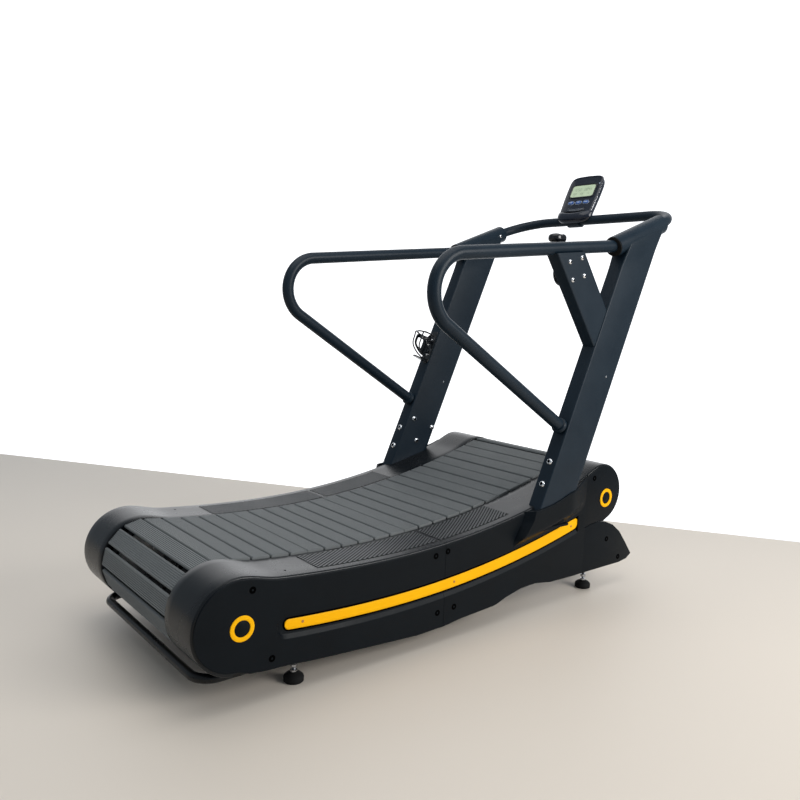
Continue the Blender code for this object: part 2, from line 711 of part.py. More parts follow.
def crossbar(axis):
    """Bar between the two sleeves, carried forward round a bend at each side."""
    exit_point = SLEEVE_START + axis * (SLEEVE_LENGTH + CROSSBAR_BEND + 0.002)
    points = []
    for sign in (1.0, -1.0):
        inside = SLEEVE_START + axis * (SLEEVE_LENGTH - 0.050) + Vector((sign * SIDE_X, 0.0, 0.0))
        corner = exit_point + Vector((sign * SIDE_X, 0.0, 0.0))
        points.append((inside, corner))
    line = [points[0][0], points[0][1], points[1][1], points[1][0]]
    path = rounded_path(line, [CROSSBAR_BEND, CROSSBAR_BEND], math.radians(9.0))
    add_object("crossbar", tube_mesh(path, CROSSBAR_RADIUS, 4), "charcoal_paint")


GUSSET_AXIS = Vector((0.0, -0.584, 0.812)).normalized()
GUSSET_DEPTH = Vector((0.0, 0.812, 0.584)).normalized()
GUSSET_REAR = Vector((0.0, 0.386, 1.201))
GUSSET_WIDTH = 0.050
GUSSET_SIZE = 0.122
CABLE_ENTRY = (0.630, 0.964)
CABLE_EXIT = (0.440, 0.294)
CABLE_EXIT_X = 0.3865


def gusset_arm():
    """Box-section arm between the right upright and its handrail; it carries the lever."""
    loops = [rounded_rectangle(GUSSET_WIDTH, GUSSET_SIZE, 0.004, (0.0, GUSSET_SIZE / 2.0), 2),
             rounded_rectangle(GUSSET_WIDTH - 0.006, GUSSET_SIZE - 0.006, 0.002, (0.0, GUSSET_SIZE / 2.0), 2)]
    rear_normal = -lean_depth()
    low_plane = (UPRIGHT_REAR + rear_normal * GAP, rear_normal)
    rail_normal = Vector((0.0, math.sin(HANDRAIL_SLOPE), -math.cos(HANDRAIL_SLOPE)))
    upper = handrail_line()[0]
    high_plane = (upper + rail_normal * (HANDRAIL_RADIUS + GAP), rail_normal)
    arm = tube_between("gusset_arm", loops, GUSSET_REAR + Vector((SIDE_X, 0.0, 0.0)), GUSSET_AXIS, GUSSET_DEPTH,
                       low_plane, high_plane, "charcoal_paint")
    x = SIDE_X - GUSSET_WIDTH / 2.0
    y, z = LEVER_PIVOT.y, LEVER_PIVOT.z
    cut(arm, rod("lever_cable_hole", (x - 0.02, y, z), (x + 0.01, y, z), 0.005, None, 16))


# ------------------------------------------------------------------ resistance lever and brake
def build_brake():
    """Lever hub, lever, knob, cable, disc and magnet carrier."""
    x = SIDE_X - GUSSET_WIDTH / 2.0 - GAP
    y, z = LEVER_PIVOT.y, LEVER_PIVOT.z
    hub_profile = [(0.034, 0.018), (0.036, 0.014), (0.036, 0.0), (0.0045, 0.0), (0.0045, 0.008),
                   (0.0063, 0.008), (0.0063, 0.018)]
    turned("lever_hub", hub_profile, (x, y, z), (-1.0, 0.0, 0.0), "black_plastic", 20)
    lever_x = x - 0.018 - GAP
    tip = LEVER_PIVOT + Vector((0.0, -0.016, 0.0985))
    along = (tip - LEVER_PIVOT).normalized()
    across = Vector((0.0, along.z, -along.y))
    outline = []
    for i in range(9):
        angle = math.pi * i / 8
        spot = LEVER_PIVOT - across * 0.012 * math.cos(angle) - along * 0.012 * math.sin(angle)
        outline.append((spot.y, spot.z))
    outline += [((tip + across * 0.008).y, (tip + across * 0.008).z),
                ((tip - across * 0.008).y, (tip - across * 0.008).z)]
    lever = side_plate("resistance_lever", [outline], lever_x - 0.006, lever_x, "steel")
    join(lever, rod("lever_pin", (lever_x - 0.003, y, z), (lever_x + 0.009, y, z), 0.006, None, 16))
    knob = rounded_rectangle(0.062, 0.034, 0.014, (tip.y - 0.003, tip.z + 0.017 + GAP), 5)
    low_knob = min(v for _, v in knob)
    knob = [(u, v - low_knob + max(v2 for _, v2 in outline) + GAP) for u, v in knob]
    side_plate("lever_knob", [knob], 0.325, 0.373, "gloss_black")
    disc_profile = [(0.085, 0.003), (0.085, -0.003), (SHAFT_RADIUS + GAP, -0.003), (SHAFT_RADIUS + GAP, 0.003)]
    turned("brake_disc", disc_profile, (BRAKE_X, *FRONT_AXIS), (1.0, 0.0, 0.0), "steel", 32)
    magnet_carrier()
    add_object("brake_cable", tube_mesh(cable_route(), 0.0025, 1), "black_rubber")


BRAKE_X = 0.302


def magnet_carrier():
    """Fork that straddles the brake disc, with its own pivot pin."""
    pivot = Vector(CARRIER_PIVOT)
    centre = Vector(FRONT_AXIS)
    along = (centre - pivot).normalized()
    across = Vector((-along.y, along.x))
    reach = (centre - pivot).length
    corners = [pivot - along * 0.012 - across * 0.012, pivot + along * (reach - 0.055) - across * 0.030,
               pivot + along * (reach - 0.055) + across * 0.030, pivot - along * 0.012 + across * 0.012]
    bridge = [pivot - along * 0.011 - across * 0.011, pivot + along * (reach - 0.095) - across * 0.018,
              pivot + along * (reach - 0.095) + across * 0.018, pivot - along * 0.011 + across * 0.011]
    outer = [(p.x, p.y) for p in corners]
    inner = [(p.x, p.y) for p in bridge]
    carrier = side_plate("magnet_carrier", [outer], BRAKE_X + 0.006, BRAKE_X + 0.012, "steel")
    join(carrier, side_plate("carrier_inner", [outer], BRAKE_X - 0.012, BRAKE_X - 0.006, None))
    join(carrier, side_plate("carrier_bridge", [inner], BRAKE_X - 0.010, BRAKE_X + 0.010, None))
    y, z = CARRIER_PIVOT
    join(carrier, rod("carrier_pin", (PLATE_X + 0.0005, y, z), (BRAKE_X, y, z), 0.005, None, 16))


def cable_route():
    """Brake cable from the lever hub, inside the arm and the upright, to the magnet carrier."""
    x = SIDE_X - GUSSET_WIDTH / 2.0
    spine = UPRIGHT_REAR + lean_depth() * 0.060 + Vector((SIDE_X, 0.0, 0.0))

    def down(z):
        return spine + lean_axis() * ((z - spine.z) / lean_axis().z)

    points = [Vector((x - 0.006, LEVER_PIVOT.y, LEVER_PIVOT.z)), Vector((x + 0.012, 0.489, 1.143)),
              Vector((x + 0.024, 0.512, 1.118)), Vector((SIDE_X, 0.570, 1.045)), Vector((SIDE_X, 0.616, 0.980)),
              Vector((SIDE_X, CABLE_ENTRY[0] + 0.010, CABLE_ENTRY[1] - 0.010)), down(0.88), down(0.78), down(0.62),
              down(0.46), Vector((0.390, 0.444, 0.350)), Vector((CABLE_EXIT_X, CABLE_EXIT[0], 0.310)),
              Vector((CABLE_EXIT_X, CABLE_EXIT[0], 0.284)), Vector((0.380, 0.462, 0.262)),
              Vector((0.360, 0.500, 0.252)), Vector((0.325, 0.555, 0.280)),
              Vector((BRAKE_X + 0.006, 0.594, 0.311))]
    return smooth_curve(points, 3)


def smooth_curve(points, steps):
    """Catmull-Rom curve through points."""
    ends = [points[0] * 2.0 - points[1]] + points + [points[-1] * 2.0 - points[-2]]
    path = []
    for a, b, c, d in zip(ends, ends[1:], ends[2:], ends[3:]):
        for i in range(steps):
            t = i / steps
            path.append(0.5 * ((2.0 * b) + (c - a) * t + (2.0 * a - 5.0 * b + 4.0 * c - d) * t * t
                               + (3.0 * b - a - 3.0 * c + d) * t ** 3))
    path.append(points[-1])
    return path


# ------------------------------------------------------------------ running gear
def build_running_gear():
    """Belt, drums, bearings and guide rollers."""
    slats = belt_loop(0.0, 0)
    inner = belt_loop(BELT_THICKNESS, 2 * len(slats))
    side_plate("running_belt", [slats, inner], -BELT_HALF_WIDTH, BELT_HALF_WIDTH, "slat_rubber")
    drum("front_drum", FRONT_AXIS, FRONT_BELT_RADIUS - BELT_THICKNESS - 0.0015, 0.330)
    drum("rear_drum", REAR_AXIS, REAR_BELT_RADIUS - BELT_THICKNESS - 0.0015, 0.287)
    for end, (y, z) in (("front", FRONT_AXIS), ("rear", REAR_AXIS)):
        for side, sign in both_sides():
            profile = [(0.034, 0.026), (0.040, 0.010), (0.040, 0.0), (SHAFT_RADIUS + GAP, 0.0),
                       (SHAFT_RADIUS + GAP, 0.026)]
            start = sign * (PLATE_X + PLATE_THICKNESS + GAP)
            turned("bearing_%s_%s" % (end, side), profile, (start, y, z), (sign, 0.0, 0.0), "steel", 16)
    for number, (y, z) in enumerate(roller_axes(), start=1):
        half = PLATE_X + PLATE_THICKNESS
        wheel = 0.190
        profile = [(0.0, half), (ROLLER_PIN_RADIUS, half), (ROLLER_PIN_RADIUS, wheel + 0.024),
                   (ROLLER_RADIUS, wheel + 0.024), (ROLLER_RADIUS, wheel), (ROLLER_PIN_RADIUS, wheel)]
        profile += [(radius, -height) for radius, height in reversed(profile)]
        spindle("guide_roller_%d" % number, profile, (0.0, y, z), "steel", 12)


def drum(name, axis, radius, right_end):
    """Shaft with a toothless belt wheel near each edge of the belt."""
    left_end = -0.287
    profile = [(0.0, right_end), (SHAFT_RADIUS, right_end)]
    for inner, outer in ((0.222, 0.188), (-0.188, -0.222)):
        profile += [(SHAFT_RADIUS, inner), (radius, inner), (radius, outer), (SHAFT_RADIUS, outer)]
    profile += [(SHAFT_RADIUS, left_end), (0.0, left_end)]
    spindle(name, profile, (0.0, *axis), "steel", 28)


def spindle(name, profile, place, finish, sides):
    """Turned solid from an open profile that starts and ends on its axis, laid along X."""
    def build(bm):
        verts = [bm.verts.new((radius, 0.0, height)) for radius, height in profile]
        edges = [bm.edges.new(pair) for pair in zip(verts, verts[1:])]
        bmesh.ops.spin(bm, geom=verts + edges, cent=(0.0, 0.0, 0.0), axis=(0.0, 0.0, 1.0), angle=math.tau,
                       steps=sides, use_merge=True)
        bmesh.ops.remove_doubles(bm, verts=bm.verts, dist=0.00005)
        bmesh.ops.recalc_face_normals(bm, faces=bm.faces)

    turn = Vector((0.0, 0.0, 1.0)).rotation_difference(Vector((1.0, 0.0, 0.0))).to_matrix()
    return add_object(name, mesh_from(build), finish, place, turn)


# ------------------------------------------------------------------ covers
RINGS = {"rear": (-0.713, 0.216), "front": (0.752, 0.349)}


def build_covers():
    """Side decks, side panels and the coloured stripes."""
    pieces = [deck_rear(), deck_front(), panel_rear(), panel_front(), stripe()]
    finishes = ("deck_grey", "deck_grey", "black_plastic", "black_plastic", "yellow_trim")
    for piece, finish in zip(pieces, finishes):
        mirror_copy(piece, piece.name.replace("_right", "_left"), finish)
    for end, (y, z) in RINGS.items():
        for side, sign in both_sides():
            profile = [(0.022, 0.0), (0.034, 0.0), (0.034, 0.0020), (0.0325, 0.0032), (0.0235, 0.0032),
                       (0.022, 0.0020)]
            turned("ring_%s_%s" % (end, side), profile, (sign * (PANEL_X + GAP), y, z), (sign, 0.0, 0.0),
                   "yellow_trim", 28)


def strip_loop(outer, thickness):
    """Closed loop of a strip: the outer line, then the same line moved inwards."""
    inner = []
    for i, point in enumerate(outer):
        before = Vector(outer[max(0, i - 1)])
        after = Vector(outer[min(len(outer) - 1, i + 1)])
        direction = (after - before).normalized()
        inward = Vector((direction.y, -direction.x))
        inner.append(tuple(Vector(point) + inward * thickness))
    return outer + inner[::-1]


def deck_rear():
    """Rear side deck: curved top and the cap round the rear drum's end."""
    radius = REAR_BELT_RADIUS + COVER_PROUD
    line = arc(REAR_AXIS, radius, 262.0, 90.0 + math.degrees(math.atan(run_slope(REAR_TANGENT_Y))), 16)
    count = 10
    first = line[-1][0] + 0.012
    line += [(y, deck_height(y)) for y in
             (first + (SEAM_Y - GAP - first) * i / count for i in range(count + 1))]
    deck = side_plate("deck_rear_right", [strip_loop(line, SHELL)], DECK_INNER_X, PANEL_INNER_X - GAP, "deck_grey")
    join(deck, side_plate("deck_rear_lip", [strip_loop(line, 0.020)], DECK_INNER_X, DECK_INNER_X + 0.004, None))
    return deck


def deck_front():
    """Front side deck, opened for the upright, with the cap round the front drum's end."""
    radius = FRONT_BELT_RADIUS + COVER_PROUD
    count = 10
    last = FRONT_AXIS[0] - radius * math.sin(math.atan(run_slope(FRONT_TANGENT_Y))) - 0.012
    line = [(y, deck_height(y)) for y in
            (SEAM_Y + GAP + (last - SEAM_Y - GAP) * i / count for i in range(count + 1))]
    line += arc(FRONT_AXIS, radius, 90.0 + math.degrees(math.atan(run_slope(FRONT_TANGENT_Y))), -65.0, 12)
    deck = side_plate("deck_front_right", [strip_loop(line, SHELL)], DECK_INNER_X, PANEL_INNER_X - GAP, "deck_grey")
    join(deck, side_plate("deck_front_lip", [strip_loop(line, 0.020)], DECK_INNER_X, DECK_INNER_X + 0.004, None))
    cut(deck, upright_opening("deck_opening", 0.360))
    return deck


def upright_opening(name, low_x):
    """Leaning block round the upright's foot, used to open the covers for it."""
    low, high = 0.286, 0.520
    depth = UPRIGHT_DEPTH / math.cos(UPRIGHT_LEAN)
    outline = [(upright_rear_y(low) - 0.004, low), (upright_rear_y(low) + depth + 0.004, low),
               (upright_rear_y(high) + depth + 0.004, high), (upright_rear_y(high) - 0.004, high)]
    clear = UPRIGHT_WIDTH / 2.0 + 0.003
    return side_plate(name, [outline], min(low_x, SIDE_X - clear) + 0.010, SIDE_X + clear, None)


def panel_rear():
    """Rear side panel with the round end and the recessed channel of the stripe."""
    radius = REAR_BELT_RADIUS + COVER_PROUD
    count = 12
    end = arc(REAR_AXIS, radius, 80.0, 262.0, 20)
    first = end[0][0] + 0.012
    top = [(SEAM_Y - GAP + (first - SEAM_Y + GAP) * i / count, 0.0) for i in range(count + 1)]
    top = [(y, deck_height(y)) for y, _ in top]
    bottom = [(-0.640, 0.083), (-0.500, 0.072), (-0.300, 0.058), (-0.134, 0.049), (SEAM_Y - GAP, 0.050)]
    panel = side_plate("side_panel_rear_right", [top + end + bottom], PANEL_INNER_X, PANEL_X, "black_plastic")
    channel = channel_loop(CHANNEL_HALF, STRIPE_REAR_Y - 0.006, SEAM_Y + 0.05, front_round=False)
    cut(panel, side_plate("channel_rear", [channel], PANEL_X - 0.008, PANEL_X + 0.01, None))
    return panel


def flared(name, loop, low_x, high_x, finish):
    """Side plate whose outer face fades back to the panel's plane ahead of the upright."""
    plate = side_plate(name, [loop], low_x, high_x, finish)
    bm = bmesh.new()
    bm.from_mesh(plate.data)
    for i in range(8):
        bmesh.ops.bisect_plane(bm, geom=bm.verts[:] + bm.edges[:] + bm.faces[:],
                               plane_co=(0.500 + 0.020 * i, 0.0, 0.0), plane_no=(1.0, 0.0, 0.0), dist=0.00001)
    for vert in bm.verts:
        if vert.co.z > 0.0:
            vert.co.z -= (high_x - PANEL_X - 0.0015) * smooth_step((vert.co.x - 0.500) / 0.140)
    bmesh.ops.triangulate(bm, faces=bm.faces)
    bm.to_mesh(plate.data)
    bm.free()
    return plate


def panel_front():
    """Front side panel: round nose, lower fin, stripe channel and the bulge round the upright's foot."""
    radius = FRONT_BELT_RADIUS + COVER_PROUD
    last = FRONT_AXIS[0] - 0.045
    count = 12
    top = [(SEAM_Y + GAP + (last - SEAM_Y - GAP) * i / count, 0.0) for i in range(count + 1)]
    top = [(y, deck_height(y)) for y, _ in top]
    nose = arc(FRONT_AXIS, radius, 100.0, -75.0, 16)
    fin_top = [(0.763, 0.256), (0.807, 0.240), (0.851, 0.208), (0.890, 0.162)]
    whole = top + nose + fin_top + lower_edge()[::-1]
    panel = side_plate("side_panel_front_right", [whole], PANEL_INNER_X, PANEL_X, "black_plastic")
    channel = channel_loop(CHANNEL_HALF, SEAM_Y - 0.05, STRIPE_FRONT_Y, rear_round=False)
    cut(panel, side_plate("channel_front", [channel], PANEL_X - 0.008, PANEL_X + 0.01, None))
    saddle = [(y, stripe_height(y) + CHANNEL_HALF + 0.004) for y in (0.285, 0.350, 0.420, 0.500, 0.560)]
    saddle += [(0.640, 0.300)]
    saddle += [(y, deck_height(y) - 0.002) for y in (0.640, 0.580, 0.520, 0.460, 0.400, 0.342)]
    saddle += [(0.334, 0.334), (0.310, 0.300), (0.288, 0.270)]
    join(panel, flared("front_saddle", saddle, PANEL_X - 0.003, SADDLE_X, None))
    cut(panel, upright_opening("panel_opening", 0.360))
    return panel


def stripe():
    """Coloured stripe, set in the channel and following the flare."""
    loop = channel_loop(STRIPE_HALF, STRIPE_REAR_Y + 0.014, STRIPE_FRONT_Y - 0.016)
    return side_plate("stripe_right", [loop], PANEL_X - 0.008 + GAP, PANEL_X - 0.004, "yellow_trim")


# ------------------------------------------------------------------ fittings
def build_fittings():
    """Levelling feet, transport wheels, lift bar and bottle cage."""
    for end, y in FOOT_STATIONS.items():
        for side, sign in both_sides():
            top = RAIL_LOW_Z - GAP
            profile = [(0.0, top), (0.006, top), (0.006, 0.052), (0.010, 0.050), (0.010, 0.042), (0.006, 0.040),
                       (0.006, 0.026), (0.020, 0.024), (0.028, 0.016), (0.028, 0.0), (0.0, 0.0)]
            upright_spindle("levelling_foot_%s_%s" % (end, side), profile, (sign * FOOT_X, y, 0.0), "black_rubber")
    y, z = WHEEL_AXIS
    for side, sign in both_sides():
        profile = [(0.0, 0.022), (0.005, 0.022), (0.005, 0.013), (0.030, 0.013), (0.034, 0.009), (0.034, -0.009),
                   (0.030, -0.013), (0.005, -0.013), (0.005, -0.022), (0.0, -0.022)]
        spindle("transport_wheel_" + side, profile, (sign * WHEEL_X, y, z), "black_rubber", 20)
    lift_bar()
    bottle_cage()


def upright_spindle(name, profile, place, finish):
    """Turned solid that stands upright."""
    obj = spindle(name, profile, place, finish, 12)
    obj.matrix_world = Matrix.Translation(Vector(place) - Vector((0.0, MID_Y, 0.0)))
    return obj


def lift_bar():
    """U-shaped bar under the rear end, for lifting the machine onto its wheels."""
    x = RAIL_X + 0.010
    top = RAIL_LOW_Z - 0.0005
    line = [(x, -0.560, top), (x, -0.560, 0.075), (x, -0.800, 0.075), (-x, -0.800, 0.075),
            (-x, -0.560, 0.075), (-x, -0.560, top)]
    path = rounded_path(line, [0.022, 0.055, 0.055, 0.022], math.radians(18.0))
    add_object("lift_bar", tube_mesh(path, 0.013, 3), "charcoal_paint")


CAGE_X = -0.3918


def bottle_cage():
    """Bottle cage on the rear face of the left upright, axis parallel to the upright."""
    normal = -lean_depth()
    axis = lean_axis()
    foot = Vector((CAGE_X, upright_rear_y(0.782), 0.782)) + normal * GAP
    frame = Matrix((Vector((-1.0, 0.0, 0.0)), axis, normal)).transposed()
    plate = rounded_rectangle(0.034, 0.140, 0.006, (0.0, 0.070), 2)
    mesh = outline_mesh([plate], 0.005)
    cage = add_object("bottle_cage", mesh, "black_plastic", foot + normal * 0.0025, frame)
    centre = foot + normal * 0.044
    for number, (low, high) in enumerate(((0.088, 0.112), (0.006, 0.024))):
        profile = [(0.0425, high), (0.0425, low), (0.038, low), (0.038, high)]
        join(cage, turned("cage_ring_%d" % number, profile, centre, axis, None, 20))
    bar = [centre + axis * 0.009 + Vector((0.0402 * s, 0.0, 0.0)) for s in (-1.0, 1.0)]
    join(cage, rod("cage_rest", bar[0], bar[1], 0.004, None, 10))
    for sign in (-1.0, 1.0):
        start = centre + Vector((0.040 * sign, 0.0, 0.0)) + axis * 0.016
        join(cage, rod("cage_strut_%d" % sign, start, start + axis * 0.084, 0.0035, None, 10))


# ------------------------------------------------------------------ console
def console_frame():
    """Rotation whose local X is to the side, Y up the face and Z out of the face."""
    up = Vector((0.0, math.sin(CONSOLE_TILT), math.cos(CONSOLE_TILT)))
    out = Vector((0.0, -math.cos(CONSOLE_TILT), math.sin(CONSOLE_TILT)))
    return Matrix((Vector((1.0, 0.0, 0.0)), up, out)).transposed()


def console_plate(name, loops, low, high, finish):
    """Plate in the console's own frame; low and high are measured out of the face."""
    turn = console_frame()
    place = CONSOLE_FOOT + turn @ Vector((0.0, 0.0, (low + high) / 2.0))
    return add_object(name, outline_mesh(loops, high - low), finish, place, turn)


LENS = (0.118, 0.050, 0.135)            # width, height and centre height of the display
BUTTON_ROW = 0.083
BUTTON_PITCH = 0.039
BUTTON_SIZE = (0.026, 0.011)


def build_console():
    """Console on the crossbar, a hand's width to the left of its middle."""
    front_loops = [rounded_rectangle(CONSOLE_WIDTH, CONSOLE_HEIGHT, 0.024, (0.0, CONSOLE_HEIGHT / 2.0), 5),
                   rounded_rectangle(LENS[0], LENS[1], 0.004, (0.0, LENS[2]), 2)]
    for i in (-1, 0, 1):
        front_loops.append(rounded_rectangle(BUTTON_SIZE[0], BUTTON_SIZE[1], 0.003,
                                             (i * BUTTON_PITCH, BUTTON_ROW), 2))
    console_plate("console_front", front_loops, -0.009, 0.0, "black_plastic")
    back = rounded_rectangle(CONSOLE_WIDTH - 0.010, 0.150, 0.022, (0.0, 0.127), 5)
    shell = console_plate("console_back", [back], -0.036, -0.009 - GAP, "black_plastic")
    pocket = rounded_rectangle(CONSOLE_WIDTH - 0.020, 0.140, 0.018, (0.0, 0.127), 5)
    cut(shell, console_plate("console_pocket", [pocket], -0.031, 0.0, None))
    lens = rounded_rectangle(LENS[0] - 2 * GAP, LENS[1] - 2 * GAP, 0.004, (0.0, LENS[2]), 2)
    console_plate("display_lens", [lens], -0.006, -0.001, "lcd_glass")
    for i, side in ((-1, "left"), (0, "middle"), (1, "right")):
        cap = rounded_rectangle(BUTTON_SIZE[0] - 0.0008, BUTTON_SIZE[1] - 0.0008, 0.003,
                                (i * BUTTON_PITCH, BUTTON_ROW), 2)
        console_plate("console_button_" + side, [cap], -0.007, 0.002, "button_blue")
    console_clamp()


def console_clamp():
    """C-shaped clamp fixed to the back of the console and closed round the crossbar."""
    bar = SLEEVE_START + sleeve_axis() * (SLEEVE_LENGTH + CROSSBAR_BEND + 0.002)
    turn = console_frame()
    _, bar_v, bar_w = turn.transposed() @ (bar - CONSOLE_FOOT)
    grip = [(bar_v + 0.027 * math.cos(math.radians(angle)), bar_w + 0.027 * math.sin(math.radians(angle)))
            for angle in range(-55, -235, -14)]
    profile = [(0.100, -0.0363), (0.100, -0.044), (0.062, -0.052)]
    profile += [(v, min(w, -0.0100)) for v, w in grip]
    profile += [(bar_v, -0.0115), (0.0505, -0.0115), (0.0505, -0.0363)]
    loop = []
    for v, w in profile:
        spot = CONSOLE_FOOT + turn @ Vector((0.0, v, w))
        loop.append((spot.y, spot.z))
    clamp = side_plate("console_clamp", [loop], CONSOLE_FOOT.x - 0.030, CONSOLE_FOOT.x + 0.030, "charcoal_paint")
    ends = [(CONSOLE_FOOT.x + side, bar.y, bar.z) for side in (-0.05, 0.05)]
    cut(clamp, rod("clamp_bore", ends[0], ends[1], CROSSBAR_RADIUS + 0.0005, None, 32))


def main():
    start_scene()
    build_chassis()
    build_uprights()
    build_brake()
    build_running_gear()
    build_covers()
    build_fittings()
    build_console()


main()
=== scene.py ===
"""Curved manual treadmill: the finished visual model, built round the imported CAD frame.

Lengths are metres. Every mesh is drawn in the deck frame, whose Y = 0 is near the middle of the
deck, and Bench.add moves it back by MID_Y, so that a piece's place is in its mesh.
"""
from __future__ import annotations

import json
import logging
import math
from dataclasses import dataclass, replace
from enum import Enum
from typing import Callable, Iterable, Sequence

import bmesh
import bpy
from mathutils import Matrix, Vector

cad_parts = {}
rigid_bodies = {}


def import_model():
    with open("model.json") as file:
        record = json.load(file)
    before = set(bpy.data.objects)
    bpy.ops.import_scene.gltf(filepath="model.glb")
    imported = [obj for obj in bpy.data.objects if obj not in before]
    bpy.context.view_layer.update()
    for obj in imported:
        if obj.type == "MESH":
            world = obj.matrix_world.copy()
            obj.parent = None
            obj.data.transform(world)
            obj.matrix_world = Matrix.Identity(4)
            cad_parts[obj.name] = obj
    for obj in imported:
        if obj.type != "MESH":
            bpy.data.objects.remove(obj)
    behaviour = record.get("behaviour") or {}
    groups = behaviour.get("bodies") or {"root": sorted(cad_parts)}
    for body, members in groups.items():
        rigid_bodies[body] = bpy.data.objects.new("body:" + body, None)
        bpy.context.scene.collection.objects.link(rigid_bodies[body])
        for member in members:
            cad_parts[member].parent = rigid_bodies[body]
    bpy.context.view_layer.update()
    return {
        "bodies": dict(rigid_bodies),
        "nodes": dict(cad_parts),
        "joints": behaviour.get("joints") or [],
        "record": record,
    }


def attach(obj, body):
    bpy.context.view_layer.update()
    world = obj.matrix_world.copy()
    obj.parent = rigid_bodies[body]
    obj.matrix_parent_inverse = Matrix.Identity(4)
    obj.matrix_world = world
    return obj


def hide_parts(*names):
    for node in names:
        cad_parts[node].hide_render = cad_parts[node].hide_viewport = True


LOG = logging.getLogger("treadmill")

MID_Y = 0.1825
SMOOTH_ANGLE = math.radians(32.0)
MERGE = 0.00001
GRAIN_DEPTH = 0.0006
COAT_ROUGHNESS = 0.08
CROSS_LINE_SCALE = 70.0
CROSS_LINE_HEIGHT = 1.8
CROSS_LINE_BUMP = 0.35
# How much paler the crests of the slat's cross lines are painted: painted highlight.
CROSS_LINE_PAINTED_LIGHT = 1.3
Point = tuple[float, float]
Spot = tuple[float, float, float]
Mesh = bmesh.types.BMesh
RIGHTWARD: Spot = (1.0, 0.0, 0.0)
LEFTWARD: Spot = (-1.0, 0.0, 0.0)
UPWARD: Spot = (0.0, 0.0, 1.0)


class Side(Enum):
    """The two long sides of the machine, with the sign of their X."""

    RIGHT = 1.0
    LEFT = -1.0

    @property
    def label(self) -> str:
        """Name of the side as the CAD nodes spell it."""
        return self.name.lower()


class Look(Enum):
    """Surface pattern that a finish carries besides its grain."""

    PLAIN = "plain"
    RIBBED = "ribbed"
    BRUSHED = "brushed"


# ---------------------------------------------------------------- shader node groups
def socket(group: bpy.types.NodeTree, name: str, kind: str, out: bool = False,
           value: float | None = None) -> None:
    """Add one named socket to a node group.

    Args:
        group: the node group.
        name: the socket's name.
        kind: Float, Color or Vector.
        out: True for an output.
        value: default value of a float input.
    """
    made = group.interface.new_socket(name=name, in_out="OUTPUT" if out else "INPUT",
                                      socket_type="NodeSocket" + kind)
    if value is not None:
        made.default_value = value


def add_node(tree: bpy.types.NodeTree, kind: str, values: dict[str, object] | None = None,
             links: dict[str, bpy.types.NodeSocket] | None = None) -> bpy.types.Node:
    """Add one shader node.

    Args:
        tree: the node tree.
        kind: the node's type without its ShaderNode prefix.
        values: constant inputs by name.
        links: inputs by name that other nodes feed.

    Returns:
        The node.
    """
    made = tree.nodes.new("ShaderNode" + kind)
    for name, value in (values or {}).items():
        made.inputs[name].default_value = value
    for name, source in (links or {}).items():
        tree.links.new(source, made.inputs[name])
    return made


def grain_group() -> bpy.types.NodeTree:
    """Group of moulded or sprayed grain.

    Returns:
        Node group with a Tone mask of broad patches and a fine Height.
    """
    known = bpy.data.node_groups.get("surface_grain")
    if known:
        return known
    group = bpy.data.node_groups.new("surface_grain", "ShaderNodeTree")
    socket(group, "Vector", "Vector")
    socket(group, "Patch Scale", "Float", value=6.0)
    socket(group, "Grain Scale", "Float", value=900.0)
    socket(group, "Tone", "Float", out=True)
    socket(group, "Height", "Float", out=True)
    start = group.nodes.new("NodeGroupInput")
    end = group.nodes.new("NodeGroupOutput")
    patch = add_node(group, "TexNoise", {"Detail": 5.0, "Roughness": 0.6},
                     {"Vector": start.outputs["Vector"], "Scale": start.outputs["Patch Scale"]})
    grain = add_node(group, "TexNoise", {"Detail": 2.0},
                     {"Vector": start.outputs["Vector"], "Scale": start.outputs["Grain Scale"]})
    spread = add_node(group, "MapRange", {"From Min": 0.32, "From Max": 0.68},
                      {"Value": patch.outputs["Fac"]})
    group.links.new(spread.outputs["Result"], end.inputs["Tone"])
    group.links.new(grain.outputs["Fac"], end.inputs["Height"])
    return group


